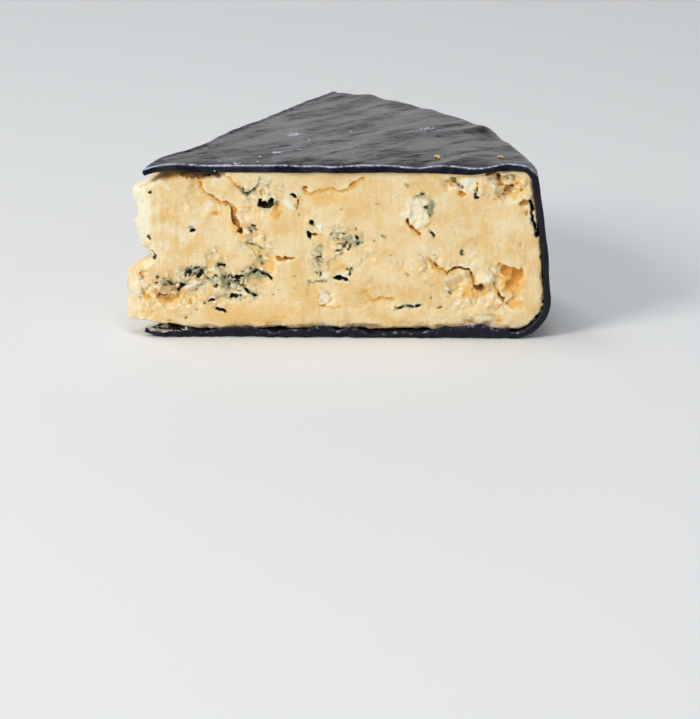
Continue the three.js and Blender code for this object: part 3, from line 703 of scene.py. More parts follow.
def hollowed(field, marks, along, height, depth):
    """The field with the pits and cracks of a face taken out of it"""
    u, v = ragged(marks, along, height, PIT_PULL)
    for pit in marks.pits:
        near = near_spot(pit, u, v, 1.4 + pit.lean * pit.deep / min(pit.wide, pit.tall))
        reach = pit_reach(pit, u[near], v[near], depth[near])
        wall = (reach - 1) * min(pit.wide, pit.tall, pit.deep)
        field[near] = np.minimum(field[near], wall)
    u, v = ragged(marks, along, height, ROUTE_PULL)
    for crack in all_cracks(marks):
        near = near_route(crack.route, u, v, 3 * crack.half_width + abs(crack.lean) * crack.deep)
        field[near] = np.minimum(field[near], -crack_gap(crack, u[near], v[near], depth[near]))
    return field


def front_places(x, _, z):
    return x, z


def back_places(x, y, z):
    past_plane = x - y * COS / SIN
    return y / SIN - BACK_SLANT * past_plane, z


def covered_depth(covered, x, y, z):
    """Depth under the waxed faces, with the ragged edge beside the wax and the open gap along the base"""
    uneven = np.maximum(EDGE_LOSS + 0.5 * noise(x, y, z, 2.0, 61) + 0.3 * noise(x, y, z, 0.9, 62), -0.2)
    base_gap = (BASE_GAP + BASE_GAP_WAVE * noise(x, y, z, 5, 64)) * smooth(7 - z, 0, 3)
    crumbly = 0.45 * noise(x, y, z, 1.3, 65) * smooth(z, 34, 37) * smooth(20 - x, 0, 3)
    return covered - (uneven + base_gap + crumbly) * np.exp(-np.maximum(y, 0) / EDGE_FADE)


def paste_axes():
    """Grid lines along x, y and z: fine everywhere but across the wedge behind the front face"""
    x = np.arange(-NOSE_ROOM, WHEEL_RADIUS, VOXEL)
    behind = np.arange(FRONT_SLAB, WHEEL_RADIUS * SIN + 1, COARSE_VOXEL)
    y = np.append(np.arange(-FACE_ROOM, FRONT_SLAB, VOXEL), behind)
    z = np.arange(BASE_ROOM, WHEEL_HEIGHT, VOXEL)
    return [axis.astype(np.float32) for axis in (x, y, z)]


def without_pinches(field):
    """The field with a corner filled wherever paste would meet paste across a square by two corners alone"""
    for first, second in 3 * ((0, 1), (0, 2), (1, 2)):
        turned = np.moveaxis(field, (first, second), (0, 1))
        a, b, c, d = turned[:-1, :-1], turned[1:, 1:], turned[1:, :-1], turned[:-1, 1:]
        c[(a > 0) & (b > 0) & (c <= 0) & (d <= 0)] = FILLED
        a[(c > 0) & (d > 0) & (a <= 0) & (b <= 0)] = FILLED
    return field


def paste_field(axes):
    """Positive inside the paste, at the crossings of the grid lines"""
    x, y, z = np.meshgrid(*axes, indexing="ij", sparse=True)
    front, back, covered = wedge_distances(x, y, z)
    face = np.minimum(front, back)
    field = np.minimum(face, covered).astype(np.float32)
    near = (face > -1) & (face < RELIEF_REACH) & (covered > -1)
    fronts = np.broadcast_to(front < back, face.shape)
    for marks, places, chosen in ((FRONT, front_places, near & fronts), (BACK, back_places, near & ~fronts)):
        cells = np.nonzero(chosen)
        px, py, pz = (axes[i][cells[i]] for i in range(3))
        along, height = places(px, py, pz)
        depth = face[cells].astype(np.float32)
        own = depth - face_drop(marks, along, height, depth)
        own = soft_min(own, covered_depth(covered[cells], px, py, pz), WAXED_BLEND)
        field[cells] = hollowed(own.astype(np.float32), marks, along, height, depth)
    return field


CUBE = np.array(list(np.ndindex(2, 2, 2)))
CUBE_EDGES = [(a, b) for a in range(8) for b in range(a + 1, 8) if np.abs(CUBE[a] - CUBE[b]).sum() == 1]


def net_corners(field, axes, cells):
    """A corner in each cell, in the middle of the places where the surface crosses the cell's edges"""
    values = np.stack([field[tuple((cells + corner).T)] for corner in CUBE], 1)
    total = np.zeros((len(cells), 3))
    crossings = np.zeros(len(cells))
    for a, b in CUBE_EDGES:
        crossed = (values[:, a] > 0) != (values[:, b] > 0)
        share = values[crossed, a] / (values[crossed, a] - values[crossed, b])
        total[crossed] += CUBE[a] + share[:, None] * (CUBE[b] - CUBE[a])
        crossings[crossed] += 1
    places = cells + total / crossings[:, None]
    return np.stack([np.interp(places[:, i], np.arange(len(axes[i])), axes[i]) for i in range(3)], 1)


def net_quads(inside, number):
    """A quad round each grid edge that the surface crosses, made of the corners in the four cells about it"""
    quads = []
    step = np.eye(3, dtype=int)
    for axis in range(3):
        aside, over = step[(axis + 1) % 3], step[(axis + 2) % 3]
        turned = np.moveaxis(inside, axis, 0)
        at = np.argwhere(np.moveaxis(turned[:-1] != turned[1:], 0, axis))
        ring = [at, at - aside, at - aside - over, at - over]
        quad = np.stack([number[tuple(cell.T)] for cell in ring], 1)
        outward = inside[tuple(at.T)]
        quads.append(np.where(outward[:, None], quad, quad[:, ::-1]))
    return np.concatenate(quads)


def surface_net(field, axes):
    """Closed mesh of quads where the field changes sign, with a corner in each cell that it crosses"""
    inside = field > 0
    shape = np.array(field.shape) - 1
    count = np.zeros(shape, np.uint8)
    for i, j, k in CUBE:
        count += inside[i : i + shape[0], j : j + shape[1], k : k + shape[2]]
    active = (count > 0) & (count < 8)
    cells = np.argwhere(active)
    number = np.full(shape, -1, np.int32)
    number[active] = np.arange(len(cells))
    return net_corners(field, axes, cells), net_quads(inside, number)


def quad_neighbours(points, quads):
    """Pairs of quads that meet at a side which no third quad shares"""
    sides = np.sort(np.stack([quads, np.roll(quads, -1, 1)], 2).reshape(-1, 2), 1).astype(np.int64)
    key = sides[:, 0] * len(points) + sides[:, 1]
    order = np.argsort(key, kind="stable")
    same = np.concatenate([[False], np.diff(key[order]) == 0, [False]])
    twice = np.nonzero(same[1:-1] & ~same[:-2] & ~same[2:])[0]
    return order[twice] // 4, order[twice + 1] // 4


def largest_part(points, quads):
    """The mesh without loose scraps, closed bubbles and bits that hang on by a side or a corner alone"""
    first, second = quad_neighbours(points, quads)
    label = np.arange(len(quads))
    while True:
        lowest = np.minimum(label[first], label[second])
        new = label.copy()
        np.minimum.at(new, first, lowest)
        np.minimum.at(new, second, lowest)
        new = new[new]
        if np.array_equal(new, label):
            break
        label = new
    quads = quads[label == np.bincount(label).argmax()]
    used = np.unique(quads)
    return points[used], np.searchsorted(used, quads)


def new_object(name, points, faces):
    mesh = bpy.data.meshes.new(name)
    corners = faces if isinstance(faces, list) else faces.tolist()
    mesh.from_pydata(((points + AXIS) * MM).tolist(), [], corners)
    mesh.polygons.foreach_set("use_smooth", np.ones(len(mesh.polygons), bool))
    mesh.update()
    piece = bpy.data.objects.new(name, mesh)
    bpy.context.scene.collection.objects.link(piece)
    return piece


def local_points(piece):
    co = np.empty(3 * len(piece.data.vertices), np.float32)
    piece.data.vertices.foreach_get("co", co)
    return co.reshape(-1, 3).astype(np.float64) / MM - AXIS


def store(piece, name, values):
    """Keeps a value at each corner of a piece for its material"""
    layer = piece.data.attributes.new(name, "FLOAT", "POINT")
    layer.data.foreach_set("value", values.astype(np.float32))


def thin_hidden(piece, triangles):
    """Fewer triangles under the wax and on the back face, and the front face as it is"""
    x, y, z = local_points(piece).T
    front, back, _ = wedge_distances(x, y, z)
    hidden = smooth(np.minimum(front, back), THIN_START, THIN_END)
    weight = np.clip(np.where(front < back, hidden, np.maximum(hidden, BACK_THINNING)), 0, 1)
    group = piece.vertex_groups.new(name="hidden")
    levels = np.round(weight * THIN_LEVELS).astype(int)
    for level in range(1, THIN_LEVELS + 1):
        group.add(np.nonzero(levels == level)[0].tolist(), level / THIN_LEVELS, "REPLACE")
    thin = piece.modifiers.new("thin", "DECIMATE")
    thin.vertex_group = group.name
    thin.vertex_group_factor = THIN_FACTOR
    thin.ratio = min(1, triangles / (2 * len(piece.data.polygons)))
    bpy.context.view_layer.objects.active = piece
    bpy.ops.object.modifier_apply(modifier=thin.name)
    piece.vertex_groups.clear()


def tuck_in(piece):
    """Moves hidden corners that the thinning pushed outwards back under the wax"""
    points = local_points(piece)
    front, back, covered = wedge_distances(*points.T)
    step = 0.05
    slope = np.stack([wedge_distances(*(points + step * way).T)[2] - covered for way in np.eye(3)], 1) / step
    hidden = smooth(np.minimum(front, back), TUCK_START, TUCK_END)
    points += slope * (hidden * np.clip(HIDDEN_DEPTH - covered, 0, TUCK_MOST))[:, None]
    piece.data.vertices.foreach_set("co", ((points + AXIS) * MM).astype(np.float32).ravel())
    piece.data.update()


# The paste's tints: mould and bloom, brown that is partly painted shadow, orange that is mostly painted warm
# shade, and pale that is partly painted light
TINTS = ("mould", "bloom", "orange", "brown", "pale")
EVERYWHERE = slice(None)


def lay(found, stain, where, strength):
    """Raises a tint, whether a stain or painted shade or light, to a strength at the places where it is
    weaker
    """
    found[stain][where] = np.maximum(found[stain][where], strength)


def tint_pits(found, marks, u, v, inside):
    for pit in marks.pits:
        near = near_spot(pit, u, v, 4)
        reach = spot_reach(pit, u[near], v[near])
        # A pit's tint fills its hollow and rims it; in orange pits, and in the orange rims of brown ones,
        # this is painted warm shade
        lay(found, pit.stain, near, smooth(1.9 - reach, 0, 0.5) * inside[near])
        lay(found, pit.stain, near, 0.6 * smooth(1.1 - reach, 0, 0.4))
        if pit.stain == "mould":
            lay(found, "bloom", near, 0.45 * smooth(1.9 - reach, 0, 0.9))
        elif pit.stain == "brown":
            lay(found, "orange", near, 0.6 * smooth(1.9 - reach, 0, 0.8))


def tint_cracks(found, marks, u, v, inside):
    for crack in all_cracks(marks):
        near = near_route(crack.route, u, v, 4)
        away, _, _ = route_distance(crack.route, u[near], v[near])
        # A crack's tint fills it and runs along it; orange here, as in the slits under scarps and the rims of
        # brown cracks, is painted warm shade
        lay(found, crack.stain, near, smooth(crack.half_width * 2 - away, 0, 0.3) * inside[near])
        lay(found, crack.stain, near, 0.6 * smooth(crack.half_width - away, -0.05, 0.2))
        rim_tint = "bloom" if crack.stain == "mould" else "orange"
        lay(found, rim_tint, near, 0.7 * smooth(crack.half_width + 0.6 - away, 0, 0.8))


def tint_patches(found, marks, u, v, crevice):
    for patch in marks.patches:
        near = near_spot(patch, u, v, 1.6)
        strength = patch.strength * smooth(1.4 - spot_reach(patch, u[near], v[near]), 0, 0.9)
        if patch.stain == "bloom":
            strength = strength * (0.5 + 0.5 * crevice[near])
        lay(found, patch.stain, near, strength)


def face_tints_and_shade(marks, along, height, depth):
    """Strength of each tint at points of a cut face, with painted warm shade in orange where a point lies
    deep under the face
    """
    found = {stain: np.zeros(along.shape) for stain in TINTS}
    _, _, valley, seam, _ = fallen(marks, along, height)
    below = depth - face_drop(marks, along, height, depth)
    inside = smooth(below, 0.08, 0.55)
    u, v = ragged(marks, along, height, PIT_PULL)
    tint_pits(found, marks, u, v, inside)
    tint_patches(found, marks, u, v, np.maximum(valley, seam))
    u, v = ragged(marks, along, height, ROUTE_PULL)
    tint_cracks(found, marks, u, v, inside)
    lay(found, "mould", EVERYWHERE, veins(marks, along, height, valley, seam))
    # Painted warm shade: orange the deeper a point lies under the face
    lay(found, "orange", EVERYWHERE, 0.8 * smooth(below, 0.3, 1.6))
    return found


def cavities(piece, points):
    """How far each corner lies under the smoothed surface round it, or less than 0 on a ridge"""
    mesh = piece.data
    ends = np.empty(2 * len(mesh.edges), np.int32)
    mesh.edges.foreach_get("vertices", ends)
    a, b = ends.reshape(-1, 2).T
    normals = np.empty(points.size, np.float32)
    mesh.vertex_normals.foreach_get("vector", normals)
    count = len(points)
    links = np.bincount(ends, minlength=count)
    smoothed = points
    for _ in range(SMOOTHINGS):
        sums = [np.bincount(a, way[b], count) + np.bincount(b, way[a], count) for way in smoothed.T]
        smoothed = np.stack(sums, 1) / links[:, None]
    lengths = np.linalg.norm(points[a] - points[b], axis=1)
    fineness = (np.bincount(a, lengths, count) + np.bincount(b, lengths, count)) / links
    return ((smoothed - points) * normals.reshape(-1, 3)).sum(1) * np.minimum(1, EVEN_EDGE / fineness) ** 2


def paint_tints_and_shade(piece):
    """Stores the tints on the paste's corners for its material, with painted warm shade in its hollows and
    painted highlights on its ridges
    """
    points = local_points(piece)
    x, y, z = points.T.astype(np.float32)
    front, back, covered = wedge_distances(x, y, z)
    depth = np.minimum(front, back)
    cavity = cavities(piece, points)
    tints = {stain: np.zeros(len(x)) for stain in TINTS}
    for marks, places, chosen in ((FRONT, front_places, front < back), (BACK, back_places, front >= back)):
        own = np.nonzero(chosen & (depth < RELIEF_REACH))[0]
        along, height = places(x[own], y[own], z[own])
        for stain, strength in face_tints_and_shade(marks, along, height, depth[own]).items():
            tints[stain][own] = strength
    # Browner close to the waxed faces, reaching further in near the base, but not at the top or by the point
    brown_beside_wax = smooth(1.1 + 0.9 * smooth(6 - z, 0, 3) + 0.7 * noise(x, y, z, 3, 71) - covered, 0, 0.9)
    brown_beside_wax = brown_beside_wax * smooth(39 - z, 0, 2) * smooth(x * MIDDLE[0] + y * MIDDLE[1], 4, 14)
    lay(tints, "brown", EVERYWHERE, 0.65 * brown_beside_wax)
    # Painted warm shade: orange in the hollows of the mesh
    lay(tints, "orange", EVERYWHERE, 0.9 * smooth(cavity, 0.05, 0.42))
    # Painted highlight: pale on ridges, away from the waxed edges
    lay(tints, "pale", EVERYWHERE, 0.85 * smooth(-cavity, 0.02, 0.18) * smooth(covered, 0.3, 1.2))
    for stain, strength in tints.items():
        store(piece, stain, strength)


def make_paste():
    axes = paste_axes()
    points, quads = largest_part(*surface_net(without_pinches(paste_field(axes)), axes))
    piece = new_object("paste", points, quads)
    thin_hidden(piece, PASTE_TRIANGLES)
    tuck_in(piece)
    paint_tints_and_shade(piece)
    return piece


# The wax

Row = namedtuple("Row", "pole share radius height normal_out normal_up trace")


def rim_row(pole, at, out, up):
    return Row(pole, 1, at[0], at[1], out, up, at[0] + WHEEL_HEIGHT - at[1])


def wax_rows():
    """Rows along the outside of the wheel's outline, from the top's point to the base's point. A row of the
    top or the base lies at a share of the way from the wedge's point to the rim."""
    pole = -(TIP_OVERHANG / math.sin(WEDGE_ANGLE / 2)) * MIDDLE
    rows = []
    for i in range(1, SHEET_ROWS):
        share = i / SHEET_ROWS
        rows.append(Row(pole, share, UPPER_CENTRE[0], WHEEL_HEIGHT, 0, 1, share * UPPER_CENTRE[0]))
    rounds = ((UPPER_CENTRE, UPPER_ROUND, math.pi / 2, RIM_TILT, UPPER_ROWS),
              (LOWER_CENTRE, LOWER_ROUND, RIM_TILT, -math.pi / 2, LOWER_ROWS))
    for centre, radius, start, end, count in rounds:
        for angle in np.linspace(start, end, count):
            out, up = math.cos(angle), math.sin(angle)
            at = centre + radius * np.array([out, up])
            rows.append(rim_row(pole, at, out, up))
        if centre is UPPER_CENTRE:
            top = rows[-1]
            foot = LOWER_CENTRE + LOWER_ROUND * np.array([top.normal_out, top.normal_up])
            for share in np.linspace(0, 1, RIM_ROWS)[1:-1]:
                at = (1 - share) * np.array([top.radius, top.height]) + share * foot
                rows.append(rim_row(pole, at, top.normal_out, top.normal_up))
    for i in range(SHEET_ROWS - 1, 0, -1):
        share = i / SHEET_ROWS
        rows.append(Row(pole, share, LOWER_CENTRE[0], 0, 0, -1, share * LOWER_CENTRE[0]))
    return rows


def wax_section(width, lip_round):
    """The wax's section along a row: place across from the front edge and depth under its outer surface, once
    round from the front lip over the outside to the back lip and home along the inside"""
    small = min(1, width / NARROW)
    turn = np.linspace(0, math.pi / 2, LIP_STEPS)
    lip, inner_lip = lip_round * small, INNER_LIP_ROUND * small
    edge = lip + EDGE_COLUMNS * small
    between = np.linspace(edge[-1], width - edge[-1], OUTER_COLUMNS)[1:-1]
    outer = np.concatenate([edge, between, width - edge[::-1]])
    inner = np.linspace(width - inner_lip, inner_lip, INNER_COLUMNS)
    corner = lip * (1 - np.sin(turn[1:]))
    corner_depth = lip * (1 - np.cos(turn[1:]))
    inner_corner = inner_lip * (1 - np.cos(turn))
    inner_depth = WAX - inner_lip * (1 - np.sin(turn))
    middle = np.linspace(lip, WAX - inner_lip, CUT_STEPS + 2)[1:-1]
    across = [outer, width - corner, np.full(CUT_STEPS, width), width - inner_corner, inner[1:-1],
              inner_corner[::-1], np.zeros(CUT_STEPS), corner[::-1]]
    depth = [np.zeros(len(outer)), corner_depth, middle, inner_depth, np.full(INNER_COLUMNS - 2, WAX),
             inner_depth[::-1], middle[::-1], corner_depth[::-1]]
    return np.concatenate(across), np.concatenate(depth)


def bend_lift(bends, at):
    return sum(bend.lift * hump(at - bend.at, bend.reach) for bend in bends)


def edge_noise(trace, wavelength, seed):
    return float(noise(np.array([trace]), np.zeros(1), np.zeros(1), wavelength, seed)[0])


def is_top(row):
    return row.normal_up > 0.5


def is_upper(row):
    """Whether a row lies on the top or on most of the round at its rim"""
    return row.normal_up > 0.3


def is_base(row):
    return row.normal_up < -0.9


def waviness(row):
    """0 at the wedge's point, where the edges lie close together, and 1 away from it"""
    far = WAVY_BASE if is_base(row) else WAVY_TOP
    return smooth(row.share * row.radius, far / 7, far)


def edge_sway(row, points, across, width, depth):
    """Moves in plan that make the cut edges uneven, and the bites out of the back edge of the top"""
    trace = row.trace + (BASE_TRACE if is_base(row) else 0)
    nick_size = BASE_NICK if is_base(row) else NICK
    move = np.zeros((len(across), 2))
    for away, out, seed in ((across, FRONT_OUT, 81), (width - across, BACK_OUT, 85)):
        edge = hump(away, SWAY_REACH)
        sway = 0.35 * edge_noise(trace, 9, seed) + 0.22 * edge_noise(trace, 3.2, seed + 1)
        nick = nick_size * noise(points[:, 0], points[:, 1], depth * 2 + row.height, 1.1, seed + 2)
        move += (edge * (waviness(row) * sway + nick * edge**6))[:, None] * out
    if is_upper(row):
        bite = bend_lift(BACK_EDGE_BENDS, row.share * row.radius)
        move += (bite * hump(width - across, BITE_REACH))[:, None] * BACK_OUT
    return move


def edge_shares(row, across, width, depth):
    """Shares of cut face, which also paints the shade behind the top's front lip, painted highlight along a
    lip, cheese left on the base and streaked top
    """
    edge = np.minimum(across, width - across)
    cut = smooth(0.35 - edge, 0, 0.15)
    lip = soil = np.zeros_like(depth)
    if is_top(row):
        # Painted shade: the top just behind its front lip is painted dark like a cut face
        shade_behind_lip = 0.6 * smooth(2.2 - across, 0, 1.4) * smooth(across, 0.5, 0.8) * waviness(row)
        cut = np.maximum(cut * smooth(depth, 0.15, 0.4), shade_behind_lip * (depth == 0))
        # Painted highlight along the top's lips
        lip = smooth(0.62 - edge, 0, 0.25) * smooth(0.22 - depth, 0, 0.15)
    if is_base(row):
        # A fainter painted highlight along the upper corner of the base's cut edges
        lip = 0.28 * smooth(0.7 - edge, 0, 0.4) * smooth(depth, WAX - 0.8, WAX - 0.2)
        soil = flap_share(row) * smooth(depth, 0.5 * WAX, WAX)
    return cut, lip, soil, np.full_like(depth, smooth(row.normal_up, 0, 1))


def wax_waves(row, points, across, width):
    """How far the outside stands off its smooth form: waves, slanted wrinkles, the ridge along a cut edge"""
    x, y, z = points.T
    waves = sum(size * noise(x, y, z, wavelength, seed) for size, wavelength, seed in WAX_WAVES)
    along = x * WRINKLE_WAY[0] + y * WRINKLE_WAY[1]
    over = x * WRINKLE_WAY[1] - y * WRINKLE_WAY[0]
    waves = waves + 0.27 * noise(along / 5, over, z, 4.2, 97) * smooth(x, 20, 60)
    if is_top(row):
        edge = np.minimum(across, width - across)
        ridge = 0.2 * hump(edge - 0.5, 0.4) - 0.15 * hump(edge - 1.7, 0.6)
        waves = waves + waviness(row) * ridge
    return waves


def base_curl(row, across, width, depth):
    """How far the ragged edges of the base turn up or lie low"""
    curl = 0.3 + 1.1 * edge_noise(row.trace, 6, 94) + 0.6 * edge_noise(row.trace, 1.9, 95)
    curl = curl + bend_lift(BASE_EDGE_BENDS, row.trace)
    near = hump(across, CURL_REACH) + hump(width - across, CURL_REACH)
    inner = depth / WAX
    return waviness(row) * near * (max(curl, 0.0) * (0.2 + 0.8 * inner) + np.clip(curl, -0.7, 0) * inner)


def left_over(row, points, depth):
    """Height of the cheese left on the base near the point"""
    lumps = noise(points[:, 0], points[:, 1], points[:, 2], 1.5, 98)
    return 0.9 * np.clip(lumps, 0, None) * flap_share(row) * depth / WAX


def flap_share(row):
    """1 near the wedge's point and 0 where the paste covers the base"""
    return smooth(BARE_FLAP - row.share * row.radius, 0, BARE_FADE)


def flap_curl(plan):
    """How far the base turns up towards the wedge's point"""
    return FLAP_CURL * np.clip(1 - plan @ MIDDLE / FLAP_LENGTH, 0, 1) ** 2


def top_lift(row, plan, angle, across):
    """How the top waves along its front edge, sags at the point and is bumpy by the rim"""
    wave = bend_lift(TOP_EDGE_BENDS, row.trace) + 0.14 * edge_noise(row.trace, 8, 96) - TOP_EDGE_SAG
    lift = waviness(row) * wave * hump(across, TOP_WAVE_REACH)
    lift = lift - TIP_SAG * np.clip(1 - plan @ MIDDLE / TIP_SAG_LENGTH, 0, 1) ** 3
    near_rim = smooth(row.share * row.radius, RIM_BUMPS_START, UPPER_CENTRE[0])
    for swell in RIM_BUMPS:
        lift = lift + near_rim * swell.lift * hump(np.degrees(angle) - swell.at, swell.reach)
    return lift


def row_points(row):
    """Points of the wax along one row, and their shares as edge_shares gives them"""
    reach_angle = math.asin(OVERHANG / row.radius)
    span = WEDGE_ANGLE + 2 * reach_angle
    width = row.share * row.radius * span
    across, depth = wax_section(width, LIP_ROUND if is_top(row) else RIM_LIP_ROUND)
    angle = span * across / width - reach_angle
    rim = row.radius * np.stack([np.cos(angle), np.sin(angle)], 1)
    plan = row.pole + row.share * (rim - row.pole)
    points = np.column_stack([plan, np.full(len(angle), float(row.height))])
    points[:, :2] += edge_sway(row, points, across, width, depth)
    shares = edge_shares(row, across, width, depth)
    if is_base(row):
        thinned = depth * (FLAP_TIP + (1 - FLAP_TIP) * smooth(row.share * row.radius, 0, FLAP_LENGTH))
        points[:, 2] += thinned + left_over(row, points, depth)
        points[:, 2] += base_curl(row, across, width, depth) + flap_curl(plan)
        return points, *shares
    outward = wax_waves(row, points, across, width) * (1 - depth / WAX) - depth
    if row.normal_out > 0:
        outward = outward + rim_bulge(row.height)
    points[:, 0] += outward * row.normal_out * np.cos(angle)
    points[:, 1] += outward * row.normal_out * np.sin(angle)
    points[:, 2] += outward * row.normal_up
    if is_upper(row):
        points[:, 2] += top_lift(row, plan, angle, across)
    return points, *shares


# The cut share also paints the shade behind the top's front lip, and the lip share is a painted highlight
WAX_SHARES = ("cut", "lip", "soil", "streaked")


def make_wax():
    rows = wax_rows()
    rings, *shares = (list(part) for part in zip(*(row_points(row) for row in rows)))
    around = len(rings[0])
    first_pole = np.append(rows[0].pole, WHEEL_HEIGHT - WAX / 2 - TIP_SAG)
    last_pole = np.append(rows[-1].pole, FLAP_TIP * WAX / 2 + flap_curl(rows[-1].pole))
    points = np.concatenate(rings + [[first_pole, last_pole]])
    faces = []
    for k in range(len(rings) - 1):
        for j in range(around):
            a, b = k * around + j, k * around + (j + 1) % around
            faces.append((a, a + around, b + around, b))
    start, end = len(points) - 2, len(points) - 1
    last = (len(rings) - 1) * around
    for j in range(around):
        after = (j + 1) % around
        faces.append((start, j, after))
        faces.append((end, last + after, last + j))
    piece = new_object("wax", points, faces)
    for name, values in zip(WAX_SHARES, shares):
        store(piece, name, np.concatenate(values + [[0, 0]]))
    return piece


# Crumbs

def crumb_mesh(centres, sizes, seed):
    """Small uneven lumps: flattened icosahedra with their corners pushed in and out"""
    golden = (1 + math.sqrt(5)) / 2
    corners = np.array([(-1, golden, 0), (1, golden, 0), (-1, -golden, 0), (1, -golden, 0), (0, -1, golden),
                        (0, 1, golden), (0, -1, -golden), (0, 1, -golden), (golden, 0, -1), (golden, 0, 1),
                        (-golden, 0, -1), (-golden, 0, 1)]) / math.hypot(1, golden)
    triangles = np.array([(0, 11, 5), (0, 5, 1), (0, 1, 7), (0, 7, 10), (0, 10, 11), (1, 5, 9), (5, 11, 4),
                          (11, 10, 2), (10, 7, 6), (7, 1, 8), (3, 9, 4), (3, 4, 2), (3, 2, 6), (3, 6, 8),
                          (3, 8, 9), (4, 9, 5), (2, 4, 11), (6, 2, 10), (8, 6, 7), (9, 8, 1)])
    draw = np.random.default_rng(seed)
    points, faces = [], []
    for centre, size in zip(centres, sizes):
        stretch = draw.uniform(CRUMB_LEAST, CRUMB_MOST) * size
        x, y, z = (corners * stretch * draw.uniform(CRUMB_DENT, CRUMB_SWELL, (len(corners), 1))).T
        turn = draw.uniform(0, 2 * math.pi)
        turned = (x * math.cos(turn) - y * math.sin(turn), x * math.sin(turn) + y * math.cos(turn), z)
        faces.extend((triangles + len(corners) * len(points)).tolist())
        points.append(np.stack(turned, 1) + centre)
    return np.concatenate(points), faces


def resting_height(wax_points, x, y, low, high):
    """Height of the wax under a place in plan, between two heights"""
    near = np.hypot(wax_points[:, 0] - x, wax_points[:, 1] - y) < CRUMB_REACH
    heights = wax_points[near & (wax_points[:, 2] > low) & (wax_points[:, 2] < high), 2]
    return heights.max() if len(heights) else None


def crumb_places():
    """Each crumb's place in plan and size, and the heights between which the wax under it lies"""
    draw = np.random.default_rng(CRUMB_SEED)
    chosen = []
    for x, y, size in TAN_CRUMBS:
        for _ in range(TAN_LUMPS):
            dx, dy = draw.uniform(-0.7, 0.7, 2) * size
            chosen.append((x + dx, y + dy, size * draw.uniform(0.5, 0.85), TOP_HEIGHTS))
    for _ in range(EDGE_CRUMBS):
        x, y = draw.uniform(17, 27), draw.uniform(0.6, 3.0)
        chosen.append((x, y, draw.uniform(0.1, 0.24), TOP_HEIGHTS))
    for _ in range(TOP_CRUMBS):
        along, turn = draw.uniform(8, 78), draw.uniform(0.04, 0.94) * WEDGE_ANGLE
        chosen.append((along * math.cos(turn), along * math.sin(turn), draw.uniform(0.16, 0.34), TOP_HEIGHTS))
    for _ in range(FLAP_CRUMBS):
        x, y = draw.uniform(1.5, 13), draw.uniform(-0.4, 2.4)
        chosen.append((x, y, draw.uniform(0.12, 0.36), FLAP_HEIGHTS))
    return chosen


def make_crumbs(wax_points):
    """Crumbs on the top, and on the flap of base wax under the nose"""
    centres, sizes = [], []
    for x, y, size, (low, high) in crumb_places():
        height = resting_height(wax_points, x, y, low, high)
        if height is not None:
            centres.append((x, y, height + CRUMB_RISE * size))
            sizes.append(size)
    piece = new_object("crumbs", *crumb_mesh(np.array(centres), sizes, CRUMB_SHAPE_SEED))
    piece.data.polygons.foreach_set("use_smooth", np.zeros(len(piece.data.polygons), bool))
    corners = len(piece.data.vertices) // len(sizes)
    is_tan = np.arange(len(piece.data.vertices)) < corners * TAN_LUMPS * len(TAN_CRUMBS)
    store(piece, "pale", WHITE_PALE * ~is_tan)
    store(piece, "orange", TAN_STAIN * is_tan)
    store(piece, "brown", TAN_STAIN * is_tan)
    return piece


# Materials

def new_material(name):
    material = bpy.data.materials.new(name)
    material.use_nodes = True
    return material, material.node_tree


def feed(tree, socket, value):
    """Links a socket to another one, or sets it to a plain value"""
    if isinstance(value, bpy.types.NodeSocket):
        tree.links.new(value, socket)
    else:
        socket.default_value = value


def set_inputs(tree, node, **inputs):
    """Feeds a node's inputs by name, with underscores for spaces"""
    for name, value in inputs.items():
        feed(tree, node.inputs[name.replace("_", " ")], value)


def add(tree, kind, **inputs):
    node = tree.nodes.new(kind)
    set_inputs(tree, node, **inputs)
    return node


def attribute(tree, name):
    node = tree.nodes.new("ShaderNodeAttribute")
    node.attribute_name = name
    return node.outputs["Fac"]


def place_in(tree):
    return tree.nodes.new("ShaderNodeTexCoord").outputs["Object"]


def noise_in(tree, scale_mm, detail=3.0, roughness=0.55, place=None):
    """Procedural noise whose features are about scale_mm long"""
    node = add(tree, "ShaderNodeTexNoise", Vector=place or place_in(tree), Scale=1 / (scale_mm * MM),
               Detail=detail, Roughness=roughness)
    return node.outputs["Fac"]


def ramp(tree, factor, low, high, to_low=0.0, to_high=1.0):
    node = add(tree, "ShaderNodeMapRange", Value=factor, From_Min=low, From_Max=high, To_Min=to_low,
               To_Max=to_high)
    node.interpolation_type = "SMOOTHSTEP"
    return node.outputs["Result"]


def maths(tree, operation, a, b):
    node = tree.nodes.new("ShaderNodeMath")
    node.operation = operation
    for socket, value in zip(node.inputs, (a, b)):
        feed(tree, socket, value)
    return node.outputs["Value"]


def colour_mix(tree, factor, a, b):
    node = tree.nodes.new("ShaderNodeMix")
    node.data_type = "RGBA"
    set_inputs(tree, node, Factor=factor, A=a, B=b)
    return node.outputs["Result"]


def bump(tree, height, strength, distance, under=None):
    """The surface's direction with the relief of a height texture, in millimetres, over another relief"""
    node = add(tree, "ShaderNodeBump", Strength=strength, Distance=distance * MM, Height=height)
    if under:
        tree.links.new(under, node.inputs["Normal"])
    return node.outputs["Normal"]


def linear(red, green, blue):
    """A display colour from 0 to 255 as a linear one"""
    values = np.array([red, green, blue]) / 255
    return (*np.where(values < 0.04045, values / 12.92, ((values + 0.055) / 1.055) ** 2.4), 1.0)


def broken(tree, strength, texture, amount):
    """A strength, such as a tint's, broken up by a texture"""
    uneven = maths(tree, "MULTIPLY", maths(tree, "SUBTRACT", texture, 0.5), amount)
    return maths(tree, "ADD", strength, uneven)


def layered(tree, colour, layers, where=None):
    """A colour under layers: each shade covers up to a share of it as its texture rises from low to high"""
    for texture, low, high, share, shade in layers:
        cover = ramp(tree, texture, low, high, 0, share)
        if where:
            cover = maths(tree, "MULTIPLY", cover, where)
        colour = colour_mix(tree, cover, colour, linear(*shade))
    return colour


